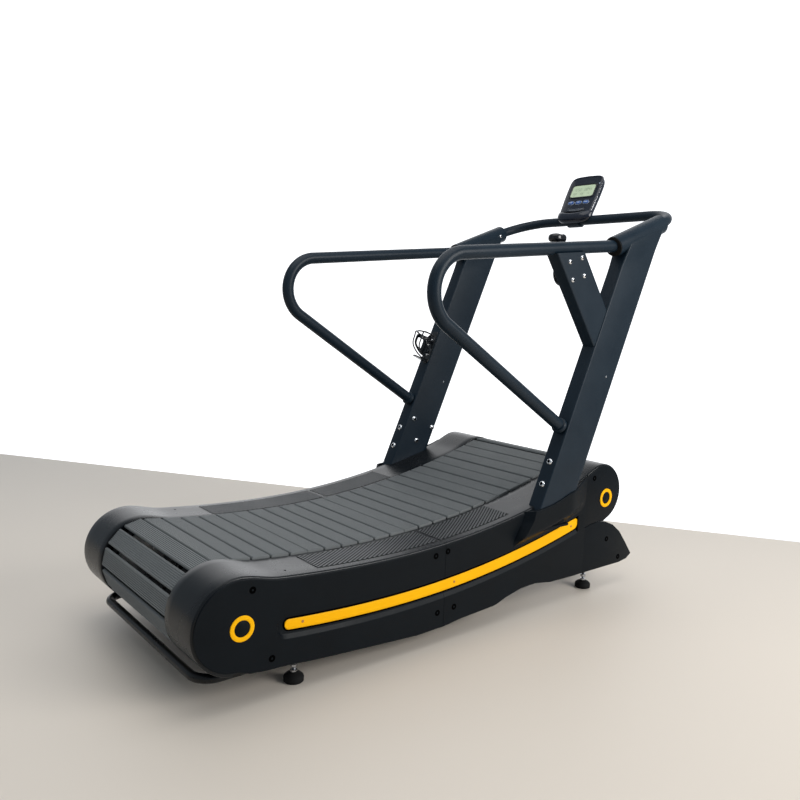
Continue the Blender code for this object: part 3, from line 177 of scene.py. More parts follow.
# ---------------------------------------------------------------- finishes
@dataclass(frozen=True)
class Finish:
    """One finish of the machine and the material that shows it."""

    name: str
    slot: str
    dark: Spot
    light: Spot
    rough: Point
    metallic: float = 0.0
    coat: float = 0.0
    patch: float = 6.0
    grain: float = 900.0
    bump: float = 0.05
    look: Look = Look.PLAIN
    specular: float = 0.5

    def material(self) -> bpy.types.Material:
        """Build the material once and return it.

        Returns:
            The material of this finish.
        """
        known = bpy.data.materials.get(self.name)
        if known:
            return known
        made = bpy.data.materials.new(self.name)
        made.use_nodes = True
        tree = made.node_tree
        shader = tree.nodes["Principled BSDF"]
        for name, value in (("Metallic", self.metallic), ("Coat Weight", self.coat),
                            ("Coat Roughness", COAT_ROUGHNESS),
                            ("Specular IOR Level", self.specular)):
            shader.inputs[name].default_value = value
        where = tree.nodes.new("ShaderNodeTexCoord").outputs["Object"]
        if self.look is Look.BRUSHED:
            where = add_node(tree, "Mapping", {"Scale": (0.05, 1.0, 1.0)},
                             {"Vector": where}).outputs["Vector"]
        grain = tree.nodes.new("ShaderNodeGroup")
        grain.node_tree = grain_group()
        grain.inputs["Patch Scale"].default_value = self.patch
        grain.inputs["Grain Scale"].default_value = self.grain
        tree.links.new(where, grain.inputs["Vector"])
        tint = tree.nodes.new("ShaderNodeMix")
        tint.data_type = "RGBA"
        tint.inputs["A"].default_value = (*self.dark, 1.0)
        tint.inputs["B"].default_value = (*self.light, 1.0)
        tree.links.new(grain.outputs["Tone"], tint.inputs["Factor"])
        sheen = add_node(tree, "MapRange", {"To Min": self.rough[0], "To Max": self.rough[1]},
                         {"Value": grain.outputs["Tone"]})
        colour, height, strength = tint.outputs["Result"], grain.outputs["Height"], self.bump
        if self.look is Look.RIBBED:
            colour, height = self.cross_ribs(tree, where, colour, height)
            strength = CROSS_LINE_BUMP
        bump = add_node(tree, "Bump", {"Strength": strength, "Distance": GRAIN_DEPTH}, {"Height": height})
        tree.links.new(sheen.outputs["Result"], shader.inputs["Roughness"])
        tree.links.new(bump.outputs["Normal"], shader.inputs["Normal"])
        tree.links.new(colour, shader.inputs["Base Color"])
        return made

    def cross_ribs(self, tree: bpy.types.NodeTree, where: bpy.types.NodeSocket, colour: bpy.types.NodeSocket,
                   height: bpy.types.NodeSocket) -> tuple[bpy.types.NodeSocket, bpy.types.NodeSocket]:
        """Cut the slat's ribs across with fine lines, whose raised crests are painted paler: a painted
        highlight.

        Args:
            tree: the material's node tree.
            where: the place on the piece.
            colour: the colour so far.
            height: the height so far.

        Returns:
            The colour and the height with the lines in them.
        """
        wave = add_node(tree, "TexWave", {"Scale": CROSS_LINE_SCALE}, {"Vector": where})
        wave.bands_direction = "X"
        both = tree.nodes.new("ShaderNodeMath")
        both.operation = "MULTIPLY_ADD"
        tree.links.new(wave.outputs["Fac"], both.inputs[0])
        both.inputs[1].default_value = CROSS_LINE_HEIGHT
        tree.links.new(height, both.inputs[2])
        # Paler colour on the crests of the lines: painted highlight where the raised lines would catch the
        # light.
        pale = tree.nodes.new("ShaderNodeMix")
        pale.data_type = "RGBA"
        pale.inputs["B"].default_value = (*(min(1.0, c * CROSS_LINE_PAINTED_LIGHT) for c in self.light), 1.0)
        tree.links.new(colour, pale.inputs["A"])
        tree.links.new(wave.outputs["Fac"], pale.inputs["Factor"])
        return pale.outputs["Result"], both.outputs["Value"]


POWDER_COAT = Finish("charcoal powder coat", "charcoal_paint", (0.0045, 0.0120, 0.0210),
                     (0.0070, 0.0165, 0.0275),
                     (0.36, 0.46), grain=1400.0, bump=0.06, specular=0.22)
TUBE_BLACK = Finish("gloss black tube", "charcoal_paint", (0.0016, 0.0022, 0.0030), (0.0030, 0.0038, 0.0048),
                    (0.22, 0.32), grain=1400.0, bump=0.04, specular=0.30)
COVER_BLACK = Finish("moulded black cover", "black_plastic", (0.0018, 0.0036, 0.0056),
                     (0.0030, 0.0054, 0.0080),
                     (0.36, 0.48), grain=1600.0, bump=0.14, specular=0.10)
FRAME_BLACK = replace(COVER_BLACK, name="black frame coat", slot="charcoal_paint")
DECK_GREY = Finish("smooth deck moulding", "deck_grey", (0.0030, 0.0044, 0.0060), (0.0050, 0.0070, 0.0092),
                   (0.24, 0.32), grain=1500.0, bump=0.10, specular=0.26)
# Paler copy of the deck grey in the same slot: painted highlight that makes the grip ribs read as lit.
LIT_RIB_GREY = Finish("deck grip ribs", "deck_grey", (0.020, 0.023, 0.026), (0.030, 0.034, 0.038),
                  (0.36, 0.46), grain=1500.0, bump=0.12, specular=0.40)
SLAT_RUBBER = Finish("ribbed slat rubber", "slat_rubber", (0.108, 0.114, 0.115), (0.160, 0.168, 0.169),
                     (0.50, 0.66), grain=1100.0, bump=0.3, look=Look.RIBBED, specular=0.22)
YELLOW = Finish("yellow trim", "yellow_trim", (0.98, 0.46, 0.0005), (1.0, 0.51, 0.001), (0.42, 0.50),
                grain=1500.0, bump=0.04, specular=0.1)
STEEL = Finish("plated steel", "steel", (0.42, 0.43, 0.45), (0.62, 0.63, 0.65), (0.22, 0.38), metallic=1.0,
               patch=14.0, grain=500.0, bump=0.05, look=Look.BRUSHED)
CHROME = Finish("polished screw chrome", "steel", (0.74, 0.75, 0.77), (0.86, 0.87, 0.89), (0.10, 0.18),
                metallic=1.0, patch=30.0, grain=900.0, bump=0.02)
RUBBER = Finish("black rubber", "black_rubber", (0.004, 0.004, 0.004), (0.008, 0.008, 0.008), (0.70, 0.88),
                grain=900.0, bump=0.25, specular=0.2)
GLOSS = Finish("gloss black", "gloss_black", (0.003, 0.004, 0.006), (0.006, 0.007, 0.010), (0.10, 0.18),
               coat=0.3, grain=700.0, bump=0.01, specular=0.3)
NAVY_GLOSS = Finish("navy gloss housing", "gloss_black", (0.006, 0.009, 0.018), (0.010, 0.014, 0.026),
                    (0.16, 0.26), coat=0.25, grain=900.0, bump=0.02, specular=0.3)
DISPLAY = Finish("pale display", "lcd_glass", (0.56, 0.68, 0.46), (0.66, 0.78, 0.54), (0.16, 0.24),
                 patch=20.0,
                 bump=0.01)
DIGITS = Finish("display digits", "lcd_glass", (0.28, 0.36, 0.24), (0.34, 0.42, 0.29), (0.3, 0.4), bump=0.01)
BUTTON_BLUE = Finish("blue button", "button_blue", (0.03, 0.10, 0.36), (0.05, 0.15, 0.46), (0.30, 0.42),
                     bump=0.03)
PALE_MARK = Finish("pale marking", "button_blue", (0.42, 0.50, 0.62), (0.52, 0.60, 0.72), (0.35, 0.45),
                   bump=0.02)
COPPER = Finish("coppery screw", "steel", (0.45, 0.20, 0.06), (0.62, 0.30, 0.10), (0.25, 0.4), metallic=0.9,
                patch=60.0, bump=0.03)
# Flat black that paints shade into the stripe's channel, the screw wells, the screw sockets and the chin's
# slot.
SHADOW_GAP = Finish("shadow gap", "black_rubber", (0.0008, 0.0008, 0.0008), (0.0015, 0.0015, 0.0015),
                    (0.85, 0.95), bump=0.02, specular=0.0)


# ---------------------------------------------------------------- mesh bench
class Bench:
    """Turns finished bmeshes into pieces of the model."""

    @staticmethod
    def add(name: str, bm: Mesh, finish: Finish, body: str = "base",
            replaces: Sequence[str] = (), merge: float = MERGE, mirror: bool = False) -> None:
        """Make one piece from a bmesh drawn in the deck frame.

        Args:
            name: the piece's name.
            bm: its mesh, freed here.
            finish: its finish.
            body: the CAD body that it rides on.
            replaces: CAD nodes that it stands for.
            merge: distance under which points are merged.
            mirror: True turns the right-hand mesh into the left-hand one.
        """
        bmesh.ops.remove_doubles(bm, verts=bm.verts, dist=merge)
        if mirror:
            bmesh.ops.scale(bm, vec=(-1.0, 1.0, 1.0), verts=bm.verts)
        bmesh.ops.translate(bm, vec=(0.0, -MID_Y, 0.0), verts=bm.verts)
        bmesh.ops.recalc_face_normals(bm, faces=bm.faces)
        mesh = bpy.data.meshes.new(name)
        bm.to_mesh(mesh)
        bm.free()
        mesh.shade_smooth()
        mesh.set_sharp_from_angle(angle=SMOOTH_ANGLE)
        mesh.materials.append(finish.material())
        piece = bpy.data.objects.new(name, mesh)
        bpy.context.scene.collection.objects.link(piece)
        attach(piece, body)
        if replaces:
            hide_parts(*replaces)
        LOG.info("%s: %d faces, rides %s", name, len(mesh.polygons), body)

    @classmethod
    def sided(cls, side: Side, name: str, bm: Mesh, finish: Finish, stands_for: str = "",
              body: str = "base") -> None:
        """Make one side's piece from its right-hand mesh; its names end in the side's label.

        Args:
            side: the side it is on.
            name: the piece's name without the side.
            bm: its right-hand mesh, freed here.
            finish: its finish.
            stands_for: CAD node that it replaces, without the side.
            body: the CAD body that it rides on.
        """
        replaced = [stands_for + "_" + side.label] if stands_for else ()
        cls.add(name + "_" + side.label, bm, finish, body, replaced, mirror=side is Side.LEFT)

    @staticmethod
    def dress(node: str, finish: Finish) -> None:
        """Give a carried-over CAD node its finish.

        Args:
            node: the CAD node.
            finish: the finish that it shows.
        """
        obj = bpy.data.objects[node]
        obj.data.materials.clear()
        obj.data.materials.append(finish.material())
        LOG.info("%s: carried over in %s", node, finish.name)


def lay_grid(fn: Callable[[float, float], Spot], across: int, along: int, thickness: float = 0.0,
             bm: Mesh | None = None) -> Mesh:
    """Bend a flat grid into a surface.

    Args:
        fn: gives the place of a point from its two grid fractions, each 0 to 1.
        across: cells in the first direction.
        along: cells in the second direction.
        thickness: wall that is added behind the surface, 0 for none.
        bm: bmesh to add to, or None for a new one.

    Returns:
        The bmesh.
    """
    made = bmesh.new()
    bmesh.ops.create_grid(made, x_segments=across, y_segments=along, size=0.5)
    for vert in made.verts:
        vert.co = Vector(fn(vert.co.x + 0.5, vert.co.y + 0.5))
    if thickness:
        bmesh.ops.remove_doubles(made, verts=made.verts, dist=MERGE)
        bmesh.ops.solidify(made, geom=made.faces[:], thickness=thickness)
    return pour(made, bm)


def back_up(bm: Mesh, shift: Spot) -> None:
    """Close an open skin by carrying a copy of it backwards.

    Args:
        bm: the skin, facing +X.
        shift: how far the back lies from the front.
    """
    bmesh.ops.remove_doubles(bm, verts=bm.verts, dist=0.00002)
    bmesh.ops.dissolve_degenerate(bm, edges=bm.edges, dist=0.00002)
    out = bmesh.ops.extrude_face_region(bm, geom=bm.faces[:])
    moved = [v for v in out["geom"] if isinstance(v, bmesh.types.BMVert)]
    bmesh.ops.translate(bm, vec=shift, verts=moved)
    bmesh.ops.recalc_face_normals(bm, faces=bm.faces)


def pour(made: Mesh, into: Mesh | None) -> Mesh:
    """Add one bmesh to another.

    Args:
        made: the bmesh that is added, freed here if there is another.
        into: the bmesh that takes it, or None.

    Returns:
        The bmesh that holds everything.
    """
    if into is None:
        return made
    mesh = bpy.data.meshes.new("pour")
    made.to_mesh(mesh)
    made.free()
    into.from_mesh(mesh)
    bpy.data.meshes.remove(mesh)
    return into


def prism(outline: Iterable[Point], low: float, high: float, bevel: float = 0.0, segments: int = 2,
          bm: Mesh | None = None) -> Mesh:
    """Extrude a side-view outline along X, with its rims bevelled.

    Args:
        outline: corners as (y, z).
        low: lowest X.
        high: highest X.
        bevel: size of the rim bevel.
        segments: steps in the bevel.
        bm: bmesh to add to.

    Returns:
        The bmesh.
    """
    made = bmesh.new()
    face = made.faces.new([made.verts.new((low, y, z)) for y, z in outline])
    out = bmesh.ops.extrude_face_region(made, geom=[face])
    moved = [v for v in out["geom"] if isinstance(v, bmesh.types.BMVert)]
    bmesh.ops.translate(made, vec=(high - low, 0.0, 0.0), verts=moved)
    if bevel:
        rims = [e for e in made.edges if abs(e.verts[0].co.x - e.verts[1].co.x) < 1e-6]
        bmesh.ops.bevel(made, geom=rims, offset=bevel, affect="EDGES", segments=segments, profile=0.5,
                        material=-1, clamp_overlap=True)
    return pour(made, bm)


def lathe(profile: Sequence[Point], place: Spot, direction: Spot, steps: int = 40,
          bm: Mesh | None = None) -> Mesh:
    """Spin a (radius, height) profile about an axis.

    Args:
        profile: points from one end of the wall to the other; ends on the axis close the piece.
        place: where height 0 is.
        direction: direction of the axis.
        steps: steps in the turn.
        bm: bmesh to add to.

    Returns:
        The bmesh.
    """
    made = bmesh.new()
    verts = [made.verts.new((r, 0.0, h)) for r, h in profile]
    edges = [made.edges.new(pair) for pair in zip(verts, verts[1:])]
    if profile[0][0] > 0.0 and profile[-1][0] > 0.0:
        edges.append(made.edges.new((verts[-1], verts[0])))
    bmesh.ops.spin(made, geom=verts + edges, cent=(0.0, 0.0, 0.0), axis=(0.0, 0.0, 1.0), angle=math.tau,
                   steps=steps, use_merge=True)
    bmesh.ops.remove_doubles(made, verts=made.verts, dist=MERGE)
    turn = Vector((0.0, 0.0, 1.0)).rotation_difference(Vector(direction)).to_matrix().to_4x4()
    bmesh.ops.transform(made, matrix=Matrix.Translation(Vector(place)) @ turn, verts=made.verts)
    bmesh.ops.recalc_face_normals(made, faces=made.faces)
    return pour(made, bm)


def tube(path: Sequence[Vector], radius: float, steps: int = 28,
         bm: Mesh | None = None) -> Mesh:
    """Round bar along a path, closed at both ends.

    Args:
        path: points of its centre line.
        radius: its radius.
        steps: points round it.
        bm: bmesh to add to.

    Returns:
        The bmesh.
    """
    made = bmesh.new()
    rings = []
    normal = None
    for i, spot in enumerate(path):
        along = (path[min(i + 1, len(path) - 1)] - path[max(i - 1, 0)]).normalized()
        if normal is None:
            normal = along.orthogonal().normalized()
        normal = (normal - along * normal.dot(along)).normalized()
        frame = Matrix((normal, along.cross(normal), along)).transposed().to_4x4()
        frame.translation = spot
        ring = bmesh.ops.create_circle(made, cap_ends=i in (0, len(path) - 1), radius=radius, segments=steps,
                                       matrix=frame)
        rings.append([e for e in {e for v in ring["verts"] for e in v.link_edges}])
    for first, second in zip(rings, rings[1:]):
        bmesh.ops.bridge_loops(made, edges=first + second)
    bmesh.ops.recalc_face_normals(made, faces=made.faces)
    return pour(made, bm)


def bent_path(points: Sequence[Spot], radii: Sequence[float],
              step: float = math.radians(6.0)) -> list[Vector]:
    """Line through points with an arc at each inner one.

    Args:
        points: corners of the line.
        radii: bend radius at each inner corner.
        step: turn between two points of an arc.

    Returns:
        Points of the line.
    """
    spots = [Vector(p) for p in points]
    path = [spots[0]]
    for before, corner, after, radius in zip(spots, spots[1:], spots[2:], radii):
        to_start = (before - corner).normalized()
        to_end = (after - corner).normalized()
        half = to_start.angle(to_end) / 2.0
        centre = corner + (to_start + to_end).normalized() * (radius / math.sin(half))
        first = (corner + to_start * (radius / math.tan(half)) - centre).normalized()
        sweep = math.pi - 2.0 * half
        count = max(2, round(sweep / step))
        for i in range(count + 1):
            angle = sweep * i / count
            path.append(centre + (first * math.cos(angle) - to_start * math.sin(angle)) * radius)
    path.append(spots[-1])
    return path


def arc(centre: Point, radius: float, start: float, end: float, count: int) -> list[Point]:
    """Points of an arc, angles in degrees.

    Args:
        centre: its centre.
        radius: its radius.
        start: first angle.
        end: last angle.
        count: steps.

    Returns:
        The points.
    """
    angles = [math.radians(start + (end - start) * i / count) for i in range(count + 1)]
    return [(centre[0] + radius * math.cos(a), centre[1] + radius * math.sin(a)) for a in angles]


def squircle(half: Point, power: float, count: int, centre: Point = (0.0, 0.0)) -> list[Point]:
    """Closed outline between an ellipse (power 2) and a rectangle (high powers).

    Args:
        half: its two half sizes.
        power: how square it is.
        count: points round it.
        centre: its middle.

    Returns:
        The points.
    """
    points = []
    for i in range(count):
        c, s = math.cos(math.tau * i / count), math.sin(math.tau * i / count)
        points.append((centre[0] + half[0] * math.copysign(abs(c) ** (2.0 / power), c),
                       centre[1] + half[1] * math.copysign(abs(s) ** (2.0 / power), s)))
    return points


def stack(rings: Sequence[Sequence[Spot]], closed: bool = False,
          bm: Mesh | None = None) -> Mesh:
    """Skin through closed rings that have equally many points.

    Args:
        rings: the rings, in order.
        closed: True joins the last ring to the first, False caps both ends.
        bm: bmesh to add to.

    Returns:
        The bmesh.
    """
    rows = [list(ring) for ring in rings]
    if closed:
        rows.append(rows[0])
    else:
        ends = [tuple(sum(p[k] for p in ring) / len(ring) for k in range(3)) for ring in (rows[0], rows[-1])]
        rows = [[ends[0]] * len(rows[0])] + rows + [[ends[1]] * len(rows[0])]
    count = len(rows[0])
    made = lay_grid(lambda u, v: rows[round(v * (len(rows) - 1))][round(u * count) % count], count,
                    len(rows) - 1)
    bmesh.ops.remove_doubles(made, verts=made.verts, dist=0.000004)
    bmesh.ops.dissolve_degenerate(made, edges=made.edges, dist=0.000004)
    bmesh.ops.recalc_face_normals(made, faces=made.faces)
    return pour(made, bm)


def ease(value: float) -> float:
    """Step from 0 to 1 with flat ends."""
    value = min(1.0, max(0.0, value))
    return value * value * (3.0 - 2.0 * value)


def blend_table(table: Sequence[Point], at: float) -> float:
    """Smooth value between the rows of a short table of (position, value)."""
    if at <= table[0][0]:
        return table[0][1]
    for (x0, y0), (x1, y1) in zip(table, table[1:]):
        if at <= x1:
            return y0 + (y1 - y0) * (at - x0) / (x1 - x0)
    return table[-1][1]


# ---------------------------------------------------------------- running belt
@dataclass
class Belt:
    """Slatted running belt on its curved path."""

    pitch: float = 0.060
    half_width: float = 0.236
    low_y: float = -0.230
    low_z: float = 0.3148
    rise_front: float = 0.1745
    rise_rear: float = 0.130
    front_tangent: float = 0.700
    rear_tangent: float = -0.703
    front_radius: float = 0.103
    rear_radius: float = 0.125
    pivot_depth: float = 0.014
    ribs: int = 9

    def height(self, y: float) -> float:
        """Height of the running surface."""
        rise = self.rise_front if y > self.low_y else self.rise_rear
        return self.low_z + rise * (y - self.low_y) ** 2

    def slope(self, y: float) -> float:
        """Slope of the running surface."""
        rise = self.rise_front if y > self.low_y else self.rise_rear
        return 2.0 * rise * (y - self.low_y)

    def axis(self, tangent: float, radius: float) -> Point:
        """Centre of the drum that the surface meets at a tangent point."""
        angle = math.atan(self.slope(tangent))
        return tangent + radius * math.sin(angle), self.height(tangent) - radius * math.cos(angle)

    @property
    def front(self) -> Point:
        """Axis of the front drum."""
        return self.axis(self.front_tangent, self.front_radius)

    @property
    def rear(self) -> Point:
        """Axis of the rear drum."""
        return self.axis(self.rear_tangent, self.rear_radius)

    def sag(self) -> tuple[float, float]:
        """Rise factor and front tangent angle of the slack lower run."""
        start = (self.rear[0], self.rear[1] - self.rear_radius)
        angle = 0.2
        for _ in range(30):
            end = (self.front[0] + self.front_radius * math.sin(angle),
                   self.front[1] - self.front_radius * math.cos(angle))
            angle = math.atan(2.0 * (end[1] - start[1]) / (end[0] - start[0]))
        return (end[1] - start[1]) / (end[0] - start[0]) ** 2, angle

    def path(self) -> list[tuple[Vector, float]]:
        """Dense loop of (outer point, heading) pairs, heading measured from +Y towards +Z."""
        fine = 300
        loop = []
        for i in range(fine):
            y = self.rear_tangent + (self.front_tangent - self.rear_tangent) * i / fine
            loop.append((Vector((y, self.height(y))), math.atan(self.slope(y))))
        rise, low_angle = self.sag()
        first = math.atan(self.slope(self.front_tangent))
        for i in range(fine):
            heading = first - (math.pi + first - low_angle) * i / fine
            out = Vector((-math.sin(heading), math.cos(heading)))
            loop.append((Vector(self.front) + out * self.front_radius, heading))
        end_y = self.front[0] + self.front_radius * math.sin(low_angle)
        base = self.rear[1] - self.rear_radius
        for i in range(fine):
            y = end_y + (self.rear[0] - end_y) * i / fine
            loop.append((Vector((y, base + rise * (y - self.rear[0]) ** 2)),
                         math.atan(2.0 * rise * (y - self.rear[0])) - math.pi))
        last = math.atan(self.slope(self.rear_tangent))
        for i in range(fine):
            heading = -math.pi - (math.pi - last) * i / fine
            out = Vector((-math.sin(heading), math.cos(heading)))
            loop.append((Vector(self.rear) + out * self.rear_radius, heading))
        return loop

    def stations(self) -> list[tuple[Vector, float]]:
        """Place and heading of each slat, evenly spaced at the depth where the belt flexes."""
        loop = self.path()
        flex = [spot - Vector((-math.sin(a), math.cos(a))) * self.pivot_depth for spot, a in loop]
        spans = [(flex[(i + 1) % len(flex)] - flex[i]).length for i in range(len(flex))]
        total = sum(spans)
        count = round(total / self.pitch)
        made = []
        travelled = 0.0
        index = 0
        for i in range(count):
            goal = total * (i + 0.30) / count
            while travelled + spans[index] < goal:
                travelled += spans[index]
                index += 1
            made.append(loop[index])
        return made

    def slat(self) -> bpy.types.Mesh:
        """One slat lying along X with its ribbed face up at height 0."""
        half = self.pitch / 2.0 - 0.0027
        step = (2.0 * half - 0.004) / self.ribs
        outline: list[Point] = [(-half, -0.0035), (-half + 0.0014, -0.0012)]
        for i in range(self.ribs):
            start = -half + 0.002 + i * step
            outline += [(start + 0.0009, -0.0017), (start + 0.0017, 0.0), (start + step - 0.0013, 0.0),
                        (start + step - 0.0005, -0.0017)]
        outline += [(half - 0.0014, -0.0012), (half, -0.0035), (half, -0.008), (half - 0.005, -0.0125),
                    (0.012, -0.0135), (0.010, -0.0205), (-0.010, -0.0205), (-0.012, -0.0135),
                    (-half + 0.005, -0.0125), (-half, -0.008)]
        bm = prism(outline, -self.half_width, self.half_width)
        ends = [f for f in bm.faces if abs(f.normal.x) > 0.9]
        bmesh.ops.inset_region(bm, faces=ends, thickness=0.0008, depth=-0.0006)
        mesh = bpy.data.meshes.new("slat")
        bm.to_mesh(mesh)
        bm.free()
        return mesh

    def build(self) -> None:
        """Lay every slat on its loop, with the two inner belts that carry them."""
        template = self.slat()
        bm = bmesh.new()
        for spot, heading in self.stations():
            before = len(bm.verts)
            bm.from_mesh(template)
            bm.verts.ensure_lookup_table()
            turn = Matrix.Rotation(heading, 4, "X")
            turn.translation = Vector((0.0, spot.x, spot.y))
            bmesh.ops.transform(bm, matrix=turn, verts=bm.verts[before:])
        bpy.data.meshes.remove(template)
        Bench.add("running_slats", bm, SLAT_RUBBER, replaces=["running_belt"], merge=1e-7)
        loop = self.path()[::6]
        bm = bmesh.new()
        for sign in (-1.0, 1.0):
            def carrier(u: float, v: float, sign: float = sign) -> Spot:
                spot, heading = loop[round(u * len(loop)) % len(loop)]
                depth = 0.0145
                return (sign * (0.185 + 0.034 * v), spot.x + math.sin(heading) * depth,
                        spot.y - math.cos(heading) * depth)
            lay_grid(carrier, len(loop), 1, thickness=0.004, bm=bm)
        Bench.add("carrier_belts", bm, RUBBER)


BELT = Belt()


# ---------------------------------------------------------------- covers
@dataclass
class Covers:
    """Side decks, end caps, side panels, the bulge at the upright and the yellow trim."""

    inner_x: float = 0.2405
    outer_x: float = 0.4040
    shell_x: float = 0.4000
    proud: float = 0.004
    drop: float = 0.006
    seam_y: float = -0.030
    seam_gap: float = 0.0012
    rim: float = 0.0050
    channel_rear: float = -0.613
    channel_front: float = 0.628
    channel_depth: float = 0.007
    lower_edge: tuple[Point, ...] = ((-0.845, 0.180), (-0.826, 0.150), (-0.790, 0.116), (-0.740, 0.095),
                                     (-0.640, 0.083), (-0.573, 0.080), (-0.498, 0.072), (-0.300, 0.0585),
                                     (-0.134, 0.048), (-0.026, 0.050), (0.044, 0.058), (0.199, 0.066),
                                     (0.248, 0.082), (0.318, 0.097), (0.391, 0.100), (0.468, 0.088),
                                     (0.577, 0.085), (0.860, 0.086), (0.905, 0.092), (0.931, 0.108))
    fin_top: tuple[Point, ...] = ((0.560, 0.232), (0.614, 0.247), (0.669, 0.260), (0.715, 0.2650),
                                  (0.763, 0.2575), (0.807, 0.2395), (0.851, 0.207), (0.890, 0.161),
                                  (0.931, 0.109))
    saddle_x: float = 0.434

    def top(self, y: float) -> float:
        """Height of the deck: below the slats along the run, above them over the drums."""
        lift = max(ease((-0.600 - y) / 0.100), ease((y - 0.600) / 0.100))
        return BELT.height(y) - self.drop + (self.drop + self.proud) * lift

    def stripe(self, y: float) -> float:
        """Height of the stripe's centre line."""
        return 0.1760 + 0.1500 * max(0.0, y + 0.230) ** 2 + 0.1300 * min(0.0, y + 0.230) ** 2

    def rear_line(self) -> list[Point]:
        """Outline of the rear cap and deck, from under the drum to the seam."""
        radius = BELT.rear_radius + self.proud
        line = arc(BELT.rear, radius, 262.0, 90.0 + math.degrees(math.atan(BELT.slope(BELT.rear_tangent))),
                   48)
        first = line[-1][0] + 0.012
        last = self.seam_y - self.seam_gap / 2.0
        return line + [(y, self.top(y)) for y in (first + (last - first) * i / 40 for i in range(41))]

    def front_line(self) -> list[Point]:
        """Outline of the front deck and cap, from the seam to under the drum."""
        radius = BELT.front_radius + self.proud
        slope = math.atan(BELT.slope(BELT.front_tangent))
        last = BELT.front[0] - radius * math.sin(slope) - 0.012
        first = self.seam_y + self.seam_gap / 2.0
        line = [(y, self.top(y)) for y in (first + (last - first) * i / 44 for i in range(45))]
        return line + arc(BELT.front, radius, 90.0 + math.degrees(slope), -66.0, 40)

    def shell(self, name: str, line: list[Point], node: str, side: Side) -> None:
        """Deck shell that rolls over its outer edge down to the side panel.

        Args:
            name: the piece's name.
            line: its outline in the side view.
            node: the CAD node that it replaces.
            side: the side it is on.
        """
        roll = 0.0060
        section: list[Point] = [(self.inner_x, 0.020), (self.inner_x, 0.0025),
                                (self.inner_x + 0.0007, 0.0008),
                                (self.inner_x + 0.0025, 0.0)]
        section += [(self.inner_x + 0.03 * k, 0.0) for k in (1, 2, 3, 4)]
        middle = (self.shell_x - roll, roll)
        section += [(middle[0] + roll * math.sin(math.radians(a)),
                     middle[1] - roll * math.cos(math.radians(a)))
                    for a in range(0, 91, 15)]
        section += [(self.shell_x, self.rim + 0.010)]
        count = len(section) - 1

        def spot(u: float, v: float) -> Spot:
            index = round(v * (len(line) - 1))
            before, after = line[max(0, index - 1)], line[min(len(line) - 1, index + 1)]
            way = Vector((after[0] - before[0], after[1] - before[1])).normalized()
            x, depth = section[round(u * count)]
            return x, line[index][0] + way.y * depth, line[index][1] - way.x * depth

        bm = lay_grid(spot, count, len(line) - 1)
        bmesh.ops.recalc_face_normals(bm, faces=bm.faces)
        if sum(f.normal.z for f in bm.faces) < 0.0:
            bmesh.ops.reverse_faces(bm, faces=bm.faces)
        bmesh.ops.solidify(bm, geom=bm.faces[:], thickness=0.0022)
        Bench.sided(side, name, bm, DECK_GREY, stands_for=node)

    def column(self, y: float, low: float, high: float, fade: float) -> list[Point]:
        """Section of a side panel at one station.

        Args:
            y: the station.
            low: height of its lower edge.
            high: height of its upper edge.
            fade: depth of the stripe's channel there, 0 to 1.

        Returns:
            Points as (x, z), bottom to top.
        """
        face = self.outer_x
        centre = (low + high) / 2.0
        if high - low > 0.05:
            centre = min(max(self.stripe(y), low + 0.020), high - 0.020)
        width = max(fade ** 0.5, 0.06)
        channel = ((-0.0400, 0.0), (-0.0372, 0.0), (-0.0355, 0.12), (-0.0262, 0.90), (-0.0245, 1.0),
                   (0.0, 1.0),
                   (0.0238, 1.0), (0.0246, 0.90), (0.0262, 0.08), (0.0275, 0.0), (0.0300, 0.0))
        room = high - low
        points = [(face - 0.016, low + 0.004), (face - 0.010, low + 0.0010), (face - 0.003, low + 0.0004),
                  (face - 0.0008, low + 0.0022), (face, low + 0.0045), (face, low + 0.0060)]
        sunk = self.channel_depth * min(1.0, 3.0 * fade)
        marks = [(face - sunk * deep, centre + up * width) for up, deep in channel]
        if room < 0.110:
            squeeze = max(0.02, (room - 0.012) / 0.098)
            marks = [(x, low + 0.006 + (z - (centre - 0.046)) * squeeze) for x, z in marks]
            marks = [(x, min(max(z, low + 0.0061), high - 0.0051)) for x, z in marks]
        points += marks
        points += [(face, high - 0.0050), (face, high - 0.0030), (face - 0.0007, high - 0.0010),
                   (face - 0.0030, high),
                   (face - 0.010, high)]
        return points

    def channel_fade(self, y: float) -> float:
        """Depth of the channel along the panel: full between its ends, nothing beyond them."""
        rear = min(1.0, max(0.0, (y - self.channel_rear) / 0.030))
        front = min(1.0, max(0.0, (self.channel_front - y) / 0.022))
        return min(rear, front) * (2.0 - min(rear, front))

    def panel(self, name: str, stations: list[tuple[float, float, float]], node: str, side: Side) -> None:
        """Side panel from its columns.

        Args:
            name: the piece's name.
            stations: rows of (y, low, high).
            node: the CAD node that it replaces.
            side: the side it is on.
        """
        columns = [self.column(y, low, high, self.channel_fade(y)) for y, low, high in stations]
        count = len(columns[0]) - 1

        def spot(u: float, v: float) -> Spot:
            index = round(u * (len(stations) - 1))
            x, z = columns[index][round(v * count)]
            return x, stations[index][0], z

        bm = lay_grid(spot, len(stations) - 1, count)
        back_up(bm, (-0.0025, 0.0, 0.0))
        Bench.sided(side, name, bm, COVER_BLACK, stands_for=node)

